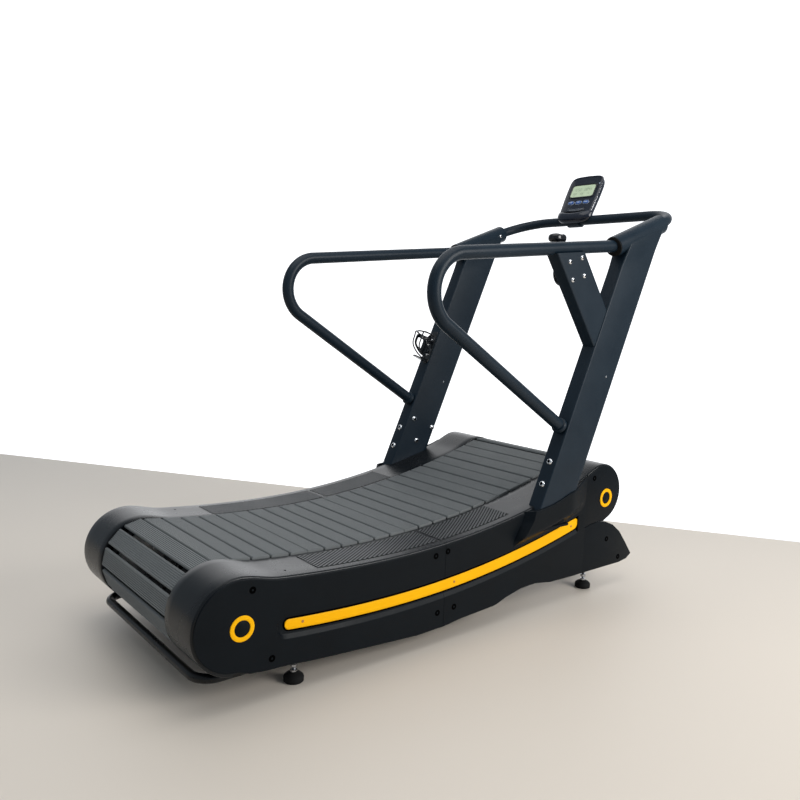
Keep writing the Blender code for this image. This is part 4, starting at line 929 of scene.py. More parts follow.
    def rear_stations(self) -> list[tuple[float, float, float]]:
        """Rows of the rear panel: a round end, then the long curved edge."""
        radius = BELT.rear_radius + self.proud - self.rim
        rows = []
        for i in range(33):
            angle = math.radians(180.0 - 88.0 * i / 32)
            y = BELT.rear[0] + radius * math.cos(angle)
            top = BELT.rear[1] + radius * math.sin(angle)
            if i == 32:
                top = min(top, self.top(y) - self.rim)
            low = BELT.rear[1] - radius * math.sin(angle) * 0.96
            edge = blend_table(self.lower_edge, y)
            rows.append((y, max(low, edge) if y > -0.80 else low, top))
        last = self.seam_y - self.seam_gap / 2.0
        knots = [-0.690, -0.660, -0.640, -0.625, -0.6130, -0.6122, -0.6105, -0.6080, -0.6045, -0.5990, -0.590]
        knots += [-0.590 + (last + 0.590) * k / 38 for k in range(1, 39)]
        for y in knots:
            rows.append((y, blend_table(self.lower_edge, y), self.top(y) - self.rim))
        return rows

    def front_stations(self) -> list[tuple[float, float, float]]:
        """Rows of the front panel, as far as the rear of the round nose."""
        first = self.seam_y + self.seam_gap / 2.0
        knots = [first + (0.590 - first) * k / 40 for k in range(41)]
        knots += [0.598, 0.606, 0.612, 0.617, 0.622, 0.6255, 0.6275, 0.632, 0.640]
        return [(y, blend_table(self.lower_edge, y), self.top(y) - self.rim) for y in knots]

    def nose(self, side: Side) -> None:
        """Round front end of the side panel, carried round from the long panel."""
        radius = BELT.front_radius + self.proud - self.rim
        outline = [(0.600, 0.2440), (0.600, self.top(0.600) - self.rim - 0.0020),
                   (0.640, self.top(0.640) - self.rim - 0.0003)]
        outline += [(y, self.top(y) - self.rim) for y in (0.650, 0.665, 0.680)]
        outline += arc(BELT.front, radius, 101.0, -68.0, 40)
        outline += [(0.745, 0.262), (0.715, 0.2665), (0.669, 0.2615)]
        bm = prism(outline[::-1], self.outer_x - 0.010, self.outer_x - 0.0001, bevel=0.0022, segments=3)
        Bench.sided(side, "nose_panel", bm, COVER_BLACK)

    def fin(self, side: Side) -> None:
        """Lower front fin, whose top edge carries the bevel of the channel's lower lip."""
        top = [(0.600, 0.2405), (0.6395, 0.2525)] + [p for p in self.fin_top if p[0] > 0.668]
        low = [p for p in self.lower_edge if p[0] > 0.64]
        outline = top + low[::-1] + [(0.600, 0.0872)]
        bm = prism(outline[::-1], self.outer_x - 0.014, self.outer_x - 0.0001, bevel=0.004, segments=3)
        Bench.sided(side, "front_fin", bm, COVER_BLACK)

    def saddle(self, side: Side) -> None:
        """Bulge of the front panel round the upright's foot: a facet, a crest and a raised rim."""
        start = ((0.0, 0.262), (0.25, 0.272), (0.50, 0.288), (0.75, 0.306), (1.0, 0.318))
        crest = ((0.0, 0.272), (0.30, 0.287), (0.50, 0.308), (0.75, 0.333), (1.0, 0.341))
        lip = ((-0.0006, -0.0012), (-0.0018, -0.0003), (-0.0030, 0.0), (-0.0046, 0.0), (-0.0054, -0.0008),
               (-0.0058, -0.0060))
        rim = ((0.250, 0.3527), (0.318, 0.3606), (0.341, 0.3660), (0.355, 0.3680), (0.380, 0.3700),
               (0.430, 0.3770),
               (0.470, 0.3880), (0.510, 0.4015), (0.560, 0.4150), (0.600, 0.4270))
        rows, facet, along, ahead = 20, 4, 64, 0.648

        def spot(u: float, v: float) -> Spot:
            i, k = round(u * (facet + along)), round(v * (rows + len(lip) + 1))
            up = min(1.0, k / rows)
            rear, edge = blend_table(start, up), blend_table(crest, up)
            if i <= facet:
                y = rear + (edge - rear) * i / facet
            else:
                y = edge + (ahead - edge) * ((i - facet) / along) ** 1.15
            low = max(self.stripe(y) + 0.0290, 0.246)
            high = blend_table(rim, y) if y < 0.600 else self.top(y) - 0.0020
            rise = ease(up / 0.40) * (1.0 - ease((y - 0.515) / 0.133)) * min(1.0, i / facet)
            x = self.outer_x - 0.0006 + (self.saddle_x - self.outer_x) * rise
            z = low + (high - 0.0030 - low) * up
            if k > rows:
                shift, drop = lip[min(k - rows, len(lip)) - 1]
                shift *= min(1.0, rise / 0.4)
                x, z = (x + shift, high + drop) if k <= rows + len(lip) else (0.3985, high + drop - 0.0002)
            return x, y, z

        bm = lay_grid(spot, facet + along, rows + len(lip) + 1)
        back_up(bm, (-0.0020, 0.0, 0.0))
        Bench.sided(side, "upright_saddle", bm, COVER_BLACK)

    def grip(self, side: Side) -> None:
        """Two anti-slip fields on the deck: slanted raised ribs in a paler grey that paints them lit, over a
        flat black sheet that paints the shade between them.
        """
        slant, inner, outer = 1.54, 0.258, 0.371
        ribs, ground = bmesh.new(), bmesh.new()
        for first, last in ((-0.470, -0.036), (-0.024, 0.274)):
            def groove_shade_sheet(u: float, v: float, first: float = first, last: float = last) -> Spot:
                y = first + (last - first) * v
                return inner - 0.002 + (outer - inner + 0.004) * u, y, self.top(y) + 0.0003
            lay_grid(groove_shade_sheet, 2, 40, bm=ground)
            count = int((last - first + (outer - inner) * slant) / 0.0173)
            for k in range(1, count + 1):
                start = first + 0.0173 * k
                low = max(inner, inner + (start - last) / slant)
                high = min(outer, inner + (start - first) / slant)
                if high - low < 0.006:
                    continue
                rings = []
                for i in range(9):
                    x = low + (high - low) * i / 8
                    y = start - (x - inner) * slant
                    ring = [(-0.0030, -0.0005), (-0.0024, 0.0015), (0.0024, 0.0015), (0.0030, -0.0005)]
                    rings.append([(x + w * 0.839, y + w * 0.545, self.top(y + w * 0.545) + h)
                                  for w, h in ring])
                stack(rings, bm=ribs)
        # Flat black sheet under the ribs: painted shade in the grooves between them.
        back_up(ground, (0.0, 0.0, -0.0010))
        Bench.sided(side, "grip_ground", ground, RUBBER)
        Bench.sided(side, "grip_ribs", ribs, LIT_RIB_GREY)

    def trim(self, side: Side) -> None:
        """Yellow stripe in its channel with three screws, a flat black strip round it that paints the
        channel's shade, and the two yellow rings.
        """
        floor = self.outer_x - self.channel_depth
        half_rear, half_front = 0.0142, 0.0190
        start, end = -0.588, 0.604

        def spot(u: float, v: float, more: float = 0.0, out: float = 0.0028) -> Spot:
            y = start - more + (end - start + 2.0 * more) * u
            along = min(1.0, max(0.0, (y - start) / (end - start)))
            half = half_rear + (half_front - half_rear) * along + more
            near = min(y - start + more, end - y + more) / half
            half *= math.sqrt(max(0.0, 1.0 - (1.0 - min(1.0, near)) ** 2)) * 0.999 + 0.001
            across = 2.0 * v - 1.0
            return floor + out - 0.57 * out * abs(across) ** 6, y, self.stripe(y) + half * across

        knots = [0.0, 0.0008, 0.002, 0.004, 0.007, 0.011] + [0.011 + 0.978 * k / 60 for k in range(1, 60)]
        knots += [0.989, 0.993, 0.996, 0.998, 0.9992, 1.0]
        # Flat black strip a little wider than the stripe: painted shade of the channel round it.
        gap = lay_grid(lambda u, v: spot(knots[round(u * (len(knots) - 1))], v, 0.0052, 0.0005),
                       len(knots) - 1, 4)
        back_up(gap, (-0.0010, 0.0, 0.0))
        Bench.sided(side, "stripe_gap", gap, SHADOW_GAP)
        bm = lay_grid(lambda u, v: spot(knots[round(u * (len(knots) - 1))], v), len(knots) - 1, 10)
        back_up(bm, (-0.0020, 0.0, 0.0))
        Bench.sided(side, "yellow_stripe", bm, YELLOW, stands_for="stripe")
        screws = bmesh.new()
        for y, z in ((-0.533, 0.1905), (0.013, 0.1852), (0.567, 0.2712)):
            lathe([(0.0, 0.0012), (0.0030, 0.0012), (0.0042, 0.0002), (0.0044, -0.0015), (0.0, -0.0015)],
                  (floor + 0.0030, y, z), RIGHTWARD, 20, screws)
        Bench.sided(side, "stripe_screws", screws, COPPER)
        for end_name, (y, z) in (("rear", (-0.713, 0.216)), ("front", (0.752, 0.349))):
            profile = [(0.0220, 0.0), (0.0220, 0.0018), (0.0226, 0.0026), (0.0238, 0.0030), (0.0322, 0.0030),
                       (0.0334, 0.0026), (0.0340, 0.0018), (0.0340, 0.0)]
            ring = lathe(profile, (self.outer_x - 0.0006, y, z), RIGHTWARD, 64)
            Bench.sided(side, "yellow_ring_%s" % end_name, ring, YELLOW, stands_for="ring_%s" % end_name)
            cap = lathe([(0.0, 0.0012), (0.0200, 0.0012), (0.0215, 0.0004), (0.0218, -0.002), (0.0, -0.002)],
                        (self.outer_x - 0.0002, y, z), RIGHTWARD, 48)
            Bench.sided(side, "ring_cap_%s" % end_name, cap, COVER_BLACK)

    def recesses(self, side: Side) -> None:
        """Flat black discs on the side panels, and one on the deck, that paint the shade of the screw wells,
        with dark screw heads.
        """
        places = ((-0.684, 0.310), (-0.070, 0.283), (-0.022, 0.289), (-0.627, 0.114), (-0.056, 0.102),
                  (0.012, 0.106), (0.679, 0.430), (0.773, 0.191), (0.851, 0.109))
        wells = bmesh.new()
        heads = bmesh.new()
        for y, z in places:
            spot = (self.outer_x, y, z)
            # Black disc a hair proud of the panel: painted shade of the well, not a hole.
            lathe([(0.0, 0.0003), (0.0084, 0.0003), (0.0088, 0.0006), (0.0093, 0.0006), (0.0097, -0.0004),
                   (0.0, -0.0004)], spot, RIGHTWARD, 24, wells)
            lathe([(0.0, 0.0006), (0.0026, 0.0006), (0.0034, 0.0001), (0.0, 0.0001)], spot, RIGHTWARD, 16,
                  heads)
        top = (0.356, -0.564, self.top(-0.564) + 0.0002)
        lathe([(0.0, 0.0), (0.0040, 0.0), (0.0046, -0.0020), (0.0, -0.0020)], top, UPWARD, 20, wells)
        Bench.sided(side, "screw_wells", wells, SHADOW_GAP)
        Bench.sided(side, "well_screws", heads, COVER_BLACK)

    def build(self) -> None:
        """Build both sides."""
        for side in Side:
            self.shell("rear_deck", self.rear_line(), "deck_rear", side)
            self.shell("front_deck", self.front_line(), "deck_front", side)
            self.panel("rear_side_panel", self.rear_stations(), "side_panel_rear", side)
            self.panel("front_side_panel", self.front_stations(), "side_panel_front", side)
            self.nose(side)
            self.fin(side)
            self.saddle(side)
            self.grip(side)
            self.trim(side)
            self.recesses(side)


# ---------------------------------------------------------------- uprights and handrails
@dataclass
class Frame:
    """Uprights, sleeves, handrails and crossbar."""

    side_x: float = 0.400
    lean: float = math.radians(23.9)
    rear_point: Point = (0.380, 0.400)
    depth: float = 0.168
    width: float = 0.056
    foot_z: float = 0.346
    sleeve_start: Point = (0.7093, 1.2460)
    sleeve_slope: float = math.radians(19.9)
    sleeve_length: float = 0.285
    sleeve_radius: float = 0.035
    rail_radius: float = 0.021
    bar_radius: float = 0.019
    bar_bend: float = 0.152
    rail_points: tuple[Point, ...] = ((0.752, 1.25168), (-0.342, 1.153), (0.4770, 0.6329))

    @property
    def up(self) -> Vector:
        """Unit vector up the upright."""
        return Vector((0.0, math.sin(self.lean), math.cos(self.lean)))

    @property
    def ahead(self) -> Vector:
        """Unit vector from the upright's rear face to its front."""
        return Vector((0.0, math.cos(self.lean), -math.sin(self.lean)))

    @property
    def along(self) -> Vector:
        """Unit vector along the sleeve."""
        return Vector((0.0, math.cos(self.sleeve_slope), math.sin(self.sleeve_slope)))

    def section(self) -> list[Point]:
        """Outline of the upright: soft square rear corners and a full round front."""
        half = self.width / 2.0
        corner = 0.0055
        points = arc((-half + corner, corner), corner, 180.0, 270.0, 5)
        points += arc((half - corner, corner), corner, 270.0, 360.0, 5)
        return points + arc((0.0, self.depth - half), half, 0.0, 180.0, 20)

    def upright(self, side: Side) -> None:
        """Upright tube that swells into the sleeve at its top, with its screws."""
        over = Vector((0.0, -self.along.z, self.along.y))
        mouth = Vector((0.0, *self.sleeve_start)) + over * 0.0005
        foot, head = [], []
        for x, deep in self.section():
            start = Vector((x, *self.rear_point)) + self.ahead * deep
            foot.append(start + self.up * ((self.foot_z - start.z) / self.up.z))
            head.append(start + self.up * ((mouth - start).dot(over) / self.up.dot(over)))
        rings = []
        for step in (0.0, 0.0015, *(0.82 + 0.18 * k / 12 for k in range(13))):
            ring = []
            for low, high in zip(foot, head):
                spot = low.lerp(high, step)
                swell = 1.0 + 0.245 * ease(1.0 - (high - spot).length / 0.115)
                inset = 0.93 if step == 0.0 else 1.0
                ring.append((self.side_x + spot.x * swell * inset, spot.y, spot.z))
            rings.append(ring)
        Bench.sided(side, "upright_post", stack(rings), POWDER_COAT, stands_for="upright")
        screws = Screws()
        for deep_y, z in ((0.4318, 0.517), (0.3995, 0.444)):
            screws.put((self.side_x, deep_y, z), tuple(-self.ahead))
        for y, z in ((0.484, 0.552), (0.583, 0.508), (0.500, 0.459)):
            screws.put((self.side_x - self.width / 2.0, y, z), LEFTWARD)
        screws.place("upright_screws", side=side)
        dome = [(0.0, 0.0010), (0.0024, 0.0009), (0.0036, 0.0), (0.0036, -0.001), (0.0, -0.001)]
        plug = lathe(dome, (self.side_x + self.width / 2.0, 0.676, 0.797), RIGHTWARD, 16)
        lathe(dome, (self.side_x - self.width / 2.0, 0.640, 0.700), LEFTWARD, 16, plug)
        Bench.sided(side, "upright_plugs", plug, STEEL)

    def sleeve(self, side: Side) -> None:
        """Sleeve on the upright's top, with its bush and set screw."""
        start = Vector((self.side_x, *self.sleeve_start))
        length, radius = self.sleeve_length, self.sleeve_radius
        profile = [(0.0325, 0.0), (radius - 0.0012, 0.0), (radius, 0.0012), (radius, length - 0.0035),
                   (radius - 0.0010, length - 0.0010), (radius - 0.0035, length), (0.0196, length),
                   (0.0196, length - 0.035), (0.0325, length - 0.035)]
        Bench.sided(side, "top_sleeve", lathe(profile, start, self.along, 56), POWDER_COAT,
                    stands_for="sleeve")
        plug = [(0.0, 0.014), (0.0320, 0.014), (0.0320, -0.0004), (0.0342, -0.0004), (0.0338, -0.0036),
                (0.0290, -0.0050), (0.0, -0.0052)]
        Bench.sided(side, "sleeve_bush", lathe(plug, start, self.along, 48), RUBBER, stands_for="rail_bush")
        spot = start + self.along * (length - 0.040) + Vector((-self.sleeve_radius, 0.0, 0.0))
        screws = Screws()
        screws.put(tuple(spot), LEFTWARD, 0.0070)
        screws.place("sleeve_set_screw", side=side)

    def handrail(self, side: Side) -> None:
        """Bent handrail with its welded collar at the upright."""
        corners = [(self.side_x, y, z) for y, z in self.rail_points]
        path = bent_path(corners, [0.114], math.radians(4.0))
        bm = tube(path, self.rail_radius, 32)
        end = Vector(corners[2])
        back = (Vector(corners[1]) - end).normalized()
        profile = [(0.0, 0.0005), (0.0255, 0.0005), (0.0270, 0.0020), (0.0270, 0.0105), (0.0258, 0.0128),
                   (0.0215, 0.0150), (0.0, 0.0150)]
        lathe(profile, end, back, 40, bm)
        Bench.sided(side, "handrail_tube", bm, POWDER_COAT, stands_for="handrail")

    def crossbar(self) -> None:
        """Bar that runs forward out of both sleeves and across."""
        slope = self.along
        start = Vector((0.0, *self.sleeve_start))
        inside = start + slope * (self.sleeve_length - 0.050)
        corner = start + slope * (self.sleeve_length + self.bar_bend + 0.002)
        x = self.side_x
        corners = [(x, inside.y, inside.z), (x, corner.y, corner.z), (-x, corner.y, corner.z),
                   (-x, inside.y, inside.z)]
        path = bent_path(corners, [self.bar_bend] * 2, math.radians(5.0))
        Bench.add("console_crossbar", tube(path, self.bar_radius, 28), POWDER_COAT, replaces=["crossbar"])

    def build(self) -> None:
        """Build both sides and the crossbar."""
        for side in Side:
            self.upright(side)
            self.sleeve(side)
            self.handrail(side)
        self.crossbar()


class Screws:
    """A set of hex-socket button heads: the bright heads and flat black discs in their sockets that paint the
    sockets' shade.
    """

    def __init__(self) -> None:
        """Start an empty set."""
        self.heads = bmesh.new()
        self.sockets = bmesh.new()

    def put(self, spot: Spot, out: Spot, radius: float = 0.0115) -> None:
        """Add one head.

        Args:
            spot: centre of its seat.
            out: direction it stands out in.
            radius: radius of its rim.
        """
        r = radius
        profile = [(0.0, 0.0020), (0.50 * r, 0.0020), (0.52 * r, 0.0050), (0.62 * r, 0.0048),
                   (0.80 * r, 0.0036),
                   (0.94 * r, 0.0016), (r, 0.0004), (r, -0.0008), (0.0, -0.0008)]
        lathe(profile, spot, out, 28, self.heads)
        # Flat black disc filling the head's socket: painted shade of the hex recess.
        lathe([(0.0, 0.0036), (0.30 * r, 0.0036), (0.51 * r, 0.0044), (0.51 * r, 0.0012), (0.0, 0.0012)],
              spot, out,
              6, self.sockets)

    def place(self, name: str, body: str = "base", side: Side | None = None,
              finish: Finish | None = None) -> None:
        """Make the set's two pieces.

        Args:
            name: what the pieces are named after.
            body: the CAD body that they ride on.
            side: the side that they are on, if they are drawn for the right-hand one.
            finish: finish of the heads, chrome if None.
        """
        left = side is Side.LEFT
        end = "_" + side.label if side else ""
        Bench.add(name + end, self.heads, finish or CHROME, body=body, mirror=left)
        Bench.add(name + end + "_sockets", self.sockets, SHADOW_GAP, body=body, mirror=left)


# ---------------------------------------------------------------- resistance lever
@dataclass
class Lever:
    """Box arm on the right handrail with the resistance lever, its hub and its knob."""

    pivot: Point = (0.487, 1.145)
    arm_x: float = 0.400
    arm_width: float = 0.050
    arm_size: float = 0.122
    arm_rear: Point = (0.386, 1.201)
    hub_face: float = 0.3747

    def arm(self, rails: Frame) -> None:
        """Box arm, cut to the upright below and to the handrail above.

        Args:
            rails: the frame that the arm joins.
        """
        axis = Vector((0.0, -0.584, 0.812)).normalized()
        deep = Vector((0.0, 0.812, 0.584)).normalized()
        slope = Vector((0.0, *rails.rail_points[0])) - Vector((0.0, *rails.rail_points[1]))
        under = Vector((0.0, slope.z, -slope.y)).normalized()
        low = Vector((0.0, *rails.rear_point)) - rails.ahead * 0.0003
        high = Vector((0.0, *rails.rail_points[0])) + under * (rails.rail_radius - 0.006)
        rings: list[list[Spot]] = [[], [], [], []]
        for x, depth in squircle((self.arm_width / 2.0, self.arm_size / 2.0), 14.0, 72,
                                 (0.0, self.arm_size / 2.0)):
            start = Vector((x, *self.arm_rear)) + deep * depth
            foot = start + axis * ((low - start).dot(rails.ahead) / axis.dot(rails.ahead))
            head = start + axis * ((high - start).dot(under) / axis.dot(under))
            for ring, spot in zip(rings, (foot, foot + axis * 0.001, head - axis * 0.001, head)):
                ring.append((self.arm_x + spot.x, spot.y, spot.z))
        Bench.add("lever_arm_box", stack(rings), POWDER_COAT, replaces=["gusset_arm"])
        screws = Screws()
        for y, z in ((0.450, 1.180), (0.510, 1.196), (0.468, 1.122), (0.526, 1.138)):
            for sign in (-1.0, 1.0):
                if sign > 0.0 or z > 1.17:
                    screws.put((self.arm_x + sign * self.arm_width / 2.0, y, z), (sign, 0.0, 0.0), 0.0085)
        screws.place("lever_arm_screws")

    def hub(self) -> None:
        """Round housing that the lever turns in."""
        profile = [(0.0068, 0.0006), (0.0422, 0.0), (0.0430, 0.0008), (0.0430, 0.0125), (0.0422, 0.0155),
                   (0.0390, 0.0174), (0.0355, 0.0178), (0.0210, 0.0178), (0.0200, 0.0170), (0.0068, 0.0170)]
        Bench.add("lever_housing", lathe(profile, (self.hub_face, *self.pivot), LEFTWARD, 64), COVER_BLACK,
                  replaces=["lever_hub"])
        marks = bmesh.new()
        for k in range(7):
            turn = math.radians(60.0 + 20.0 * k)
            spot = (self.hub_face - 0.0180, self.pivot[0] + 0.0255 * math.cos(turn),
                    self.pivot[1] + 0.0255 * math.sin(turn))
            size = Matrix.Diagonal((0.0006, 0.0050 if k % 3 == 0 else 0.0034, 0.0010, 1.0))
            bmesh.ops.create_cube(marks, size=1.0, matrix=Matrix.Translation(spot)
                                  @ Matrix.Rotation(turn, 4, "X") @ size)
        Bench.add("lever_scale", marks, PALE_MARK)

    def handle(self) -> None:
        """Steel lever with its pivot screw and the two-lobed knob; both ride the lever's body."""
        outer = self.hub_face - 0.0183
        tip = Vector((self.pivot[0] - 0.016, self.pivot[1] + 0.0985))
        along = (tip - Vector(self.pivot)).normalized()
        across = Vector((along.y, -along.x))
        foot = [Vector(self.pivot) - across * 0.012 * math.cos(math.radians(a))
                - along * 0.012 * math.sin(math.radians(a)) for a in range(0, 181, 12)]
        outline = [tuple(p) for p in foot] + [tuple(tip + across * 0.008), tuple(tip - across * 0.008)]
        bm = prism(outline, outer - 0.006, outer, bevel=0.0012)
        lathe([(0.0, 0.010), (0.0058, 0.010), (0.0058, -0.001), (0.0, -0.001)], (outer, *self.pivot),
              RIGHTWARD, 32, bm)
        Bench.add("lever_bar", bm, STEEL, body="resistance_lever", replaces=["resistance_lever"])
        pin = Screws()
        pin.put((outer - 0.006, *self.pivot), LEFTWARD, 0.0090)
        pin.place("lever_pivot_screw", body="resistance_lever")
        middle = (0.349, 0.4700, 1.2600)
        rings = []
        for k in range(1, 24):
            turn = math.pi * k / 24 - math.pi / 2.0
            reach = math.copysign(abs(math.sin(turn)) ** 0.75, turn)
            size = math.cos(turn) ** 0.62
            ring = []
            for y, z in squircle((0.031 * size, 0.0165 * size), 2.7, 48):
                waist = 1.0 - 0.20 * math.exp(-((y / 0.009) ** 2)) * (1.0 if z > 0.0 else 0.4)
                ring.append((middle[0] + 0.0238 * reach, middle[1] + y, middle[2] + z * waist))
            rings.append(ring)
        Bench.add("lever_grip", stack(rings), GLOSS, body="resistance_lever", replaces=["lever_knob"])

    def build(self, rails: Frame) -> None:
        """Build the arm, the hub and the handle."""
        self.arm(rails)
        self.hub()
        self.handle()


# ---------------------------------------------------------------- console
SEGMENTS = {"0": "abcdef", "1": "bc", "2": "abdeg", "4": "bcfg", "5": "acdfg", "8": "abcdefg"}


@dataclass
class Console:
    """Small console on the crossbar: housing, display, keys, chin and bracket."""

    foot: Spot = (-0.1015, 1.0885, 1.394)
    tilt: float = math.radians(27.0)
    half: Point = (0.0855, 0.1110)
    lens: tuple[float, float, float] = (0.0590, 0.0285, 0.1470)
    key_row: float = 0.0895
    key_pitch: float = 0.039

    def at(self, x: float, v: float, w: float) -> Spot:
        """Deck-frame place of a point x to the side, v up the face and w out of it."""
        c, s = math.cos(self.tilt), math.sin(self.tilt)
        return self.foot[0] + x, self.foot[1] + v * s - w * c, self.foot[2] + v * c + w * s

    def ring(self, half: Point, middle: float, w: float, power: float = 6.0, shift: float = 0.0,
             count: int = 72) -> list[Spot]:
        """Closed rounded rectangle on the face."""
        return [self.at(x, v, w) for x, v in squircle(half, power, count, (shift, middle))]

    def outline(self, shrink: float, w: float) -> list[Spot]:
        """Outline of the housing: arched top, slight waist above the chin."""
        points = []
        for x, v in squircle((self.half[0] - shrink, self.half[1] - shrink), 8.0, 96, (0.0, self.half[1])):
            bow = (x / self.half[0]) ** 2
            v -= 0.006 * bow * ease((v - 0.12) / 0.07)
            x *= 1.0 - 0.045 * ease((0.13 - v) / 0.08)
            points.append(self.at(x, v, w))
        return points

    def housing(self) -> None:
        """Front and back shells, parted by a narrow seam, with a thin steel ring round the side that paints
        the highlight of the gloss edge.
        """
        front = [self.outline(inset, w) for w, inset in
                 ((-0.0090, 0.0012), (-0.0086, 0.0002), (-0.0030, 0.0), (-0.0012, 0.0006), (-0.0002, 0.0022),
                  (0.0, 0.0042), (-0.0003, 0.0060), (-0.0014, 0.0076), (-0.0018, 0.0100))]
        Bench.add("console_face", stack(front), NAVY_GLOSS, replaces=["console_front"])
        back = [self.outline(inset, w) for w, inset in
                ((-0.0092, 0.0030), (-0.0098, 0.0022), (-0.0200, 0.0030), (-0.0290, 0.0065),
                 (-0.0340, 0.0125),
                 (-0.0360, 0.0220))]
        Bench.add("console_shell", stack(back), NAVY_GLOSS, replaces=["console_back"])
        # Thin steel ring on the housing's side: painted highlight along the gloss edge.
        line = [self.outline(inset, w) for w, inset in
                ((-0.0060, -0.0003), (-0.0056, -0.0006), (-0.0050, -0.0003), (-0.0056, 0.0006))]
        Bench.add("console_bright_line", stack(line, closed=True), STEEL)

    def display(self) -> None:
        """Bezel, pale display and its digits."""
        x, v, middle = self.lens
        bezel = [self.ring((x + out, v + out), middle, w, 9.0, count=96) for w, out in
                 ((-0.0022, 0.0062), (0.0002, 0.0060), (0.0010, 0.0048), (0.0010, 0.0016), (0.0002, 0.0002),
                  (-0.0022, 0.0002))]
        Bench.add("display_bezel", stack(bezel, closed=True), GLOSS)
        lens = [self.ring((x, v), middle, w, 14.0, count=96) for w in (-0.0022, -0.0008)]
        Bench.add("display_glass", stack(lens), DISPLAY, replaces=["display_lens"])
        bm = bmesh.new()
        for row, (text, left, high) in enumerate((("1250", -0.048, 0.0130), ("0845", 0.006, 0.0130),
                                                  ("250", -0.048, 0.0085), ("108", -0.014, 0.0085),
                                                  ("45", 0.024, 0.0085))):
            base = middle + (0.0015 if row < 2 else -0.0170)
            for i, digit in enumerate(text):
                self.digit(bm, digit, left + i * high * 0.80, base, high)
        Bench.add("display_digits", bm, DIGITS)

    def digit(self, bm: Mesh, digit: str, x: float, v: float, high: float) -> None:
        """One seven-segment digit.

        Args:
            bm: bmesh to add to.
            digit: the numeral.
            x: its left edge.
            v: its lower edge.
            high: its height.
        """
        wide, thick = high * 0.5, high * 0.11
        bars = {"a": (0.5, 1.0, True), "g": (0.5, 0.5, True), "d": (0.5, 0.0, True), "f": (0.0, 0.75, False),
                "b": (1.0, 0.75, False), "e": (0.0, 0.25, False), "c": (1.0, 0.25, False)}
        for key in SEGMENTS[digit]:
            across, up, flat = bars[key]
            size = (wide * 0.8, thick) if flat else (thick, high * 0.42)
            place = Matrix.Translation(self.at(x + across * wide, v + up * high, -0.0007))
            turn = Matrix.Rotation(-self.tilt, 4, "X")
            bmesh.ops.create_cube(bm, size=1.0,
                                  matrix=place @ turn @ Matrix.Diagonal((size[0], 0.0003, size[1], 1.0)))

    def keys(self) -> None:
        """Three domed keys, each on its own sliding body, with pale marks beside them."""
        for number, name in ((-1, "left"), (0, "middle"), (1, "right")):
            shift = number * self.key_pitch
            rings = [self.ring((0.0133 - inset, 0.0062 - inset), self.key_row, w, 2.6, shift, 40)
                     for w, inset in
                     ((-0.0060, 0.0006), (0.0004, 0.0), (0.0014, 0.0004), (0.0021, 0.0014), (0.0025, 0.0030))]
            Bench.add("key_cap_" + name, stack(rings), BUTTON_BLUE, body="console_button_" + name,
                      replaces=["console_button_" + name])
            mark = [self.ring((0.0070 - inset, 0.0022 - inset), self.key_row + 0.0006, w, 2.2, shift, 28)
                    for w, inset in ((0.0018, 0.0), (0.0028, 0.0), (0.0029, 0.0003))]
            Bench.add("key_mark_" + name, stack(mark), PALE_MARK, body="console_button_" + name)
        frames = bmesh.new()
        for number in (-1, 0, 1):
            rings = [self.ring((0.0152 + out, 0.0080 + out), self.key_row, w, 2.6, number * self.key_pitch,
                               40)
                     for w, out in ((-0.0022, 0.0012), (0.0, 0.0010), (0.0004, 0.0002), (-0.0022, -0.0004))]
            stack(rings, closed=True, bm=frames)
        light = [self.ring((0.0024 - inset, 0.0030 - inset), 0.178, w, 2.2, 0.0735, 20) for w, inset in
                 ((-0.0020, 0.0), (-0.0006, 0.0), (0.0, 0.0010))]
        stack(light, bm=frames)
        Bench.add("key_frames", frames, PALE_MARK)

    def chin(self) -> None:
        """Rounded lower lip under a curved slot, whose shade is painted by a flat black strip."""
        def upper(x: float) -> float:
            return 0.036 + 0.016 * (x / 0.081) ** 2

        def lip(u: float, v: float) -> Spot:
            x = 0.0865 * math.copysign(abs(2.0 * u - 1.0) ** 0.7, u - 0.5)
            full = max(0.0, 1.0 - abs(x / 0.0867) ** 4.5) ** 0.5
            turn = math.pi * v
            low = -0.006 + 0.012 * (x / 0.081) ** 4
            middle, reach = (upper(x) + low) / 2.0, (upper(x) - low) / 2.0
            up = middle - reach * math.copysign(abs(math.cos(turn)) ** 0.8,
                                                math.cos(turn)) * (0.55 + 0.45 * full)
            return self.at(x, up, -0.0085 + (0.0285 - 0.006 * (1.0 - v)) * math.sin(turn) ** 0.7 * full)

        bm = lay_grid(lip, 56, 24)
        bmesh.ops.remove_doubles(bm, verts=bm.verts, dist=0.00002)
        bmesh.ops.holes_fill(bm, edges=[e for e in bm.edges if e.is_boundary], sides=0)
        Bench.add("console_chin", bm, NAVY_GLOSS)
        # The flat black strip over the chin's upper edge paints the slot's shade.
        for name, low, high, out, finish in (("chin_slot", 0.001, 0.0085, 0.0009, SHADOW_GAP),
                                             ("chin_arc", 0.0140, 0.0158, 0.0004, STEEL),
                                             ("chin_arc_low", 0.0200, 0.0212, 0.0002, STEEL)):
            reach = 0.058 if name == "chin_slot" else 0.046
            bm = lay_grid(lambda u, v, low=low, high=high, out=out, reach=reach: self.at(
                (2.0 * u - 1.0) * reach, upper((2.0 * u - 1.0) * reach) + low
                + (high - low) * v * (1.0 - 0.7 * abs(2.0 * u - 1.0) ** 3), out), 40, 2)
            out_way = Vector(self.at(0.0, 0.0, -0.0024)) - Vector(self.at(0.0, 0.0, 0.0))
            back_up(bm, tuple(out_way))
            Bench.add(name, bm, finish)

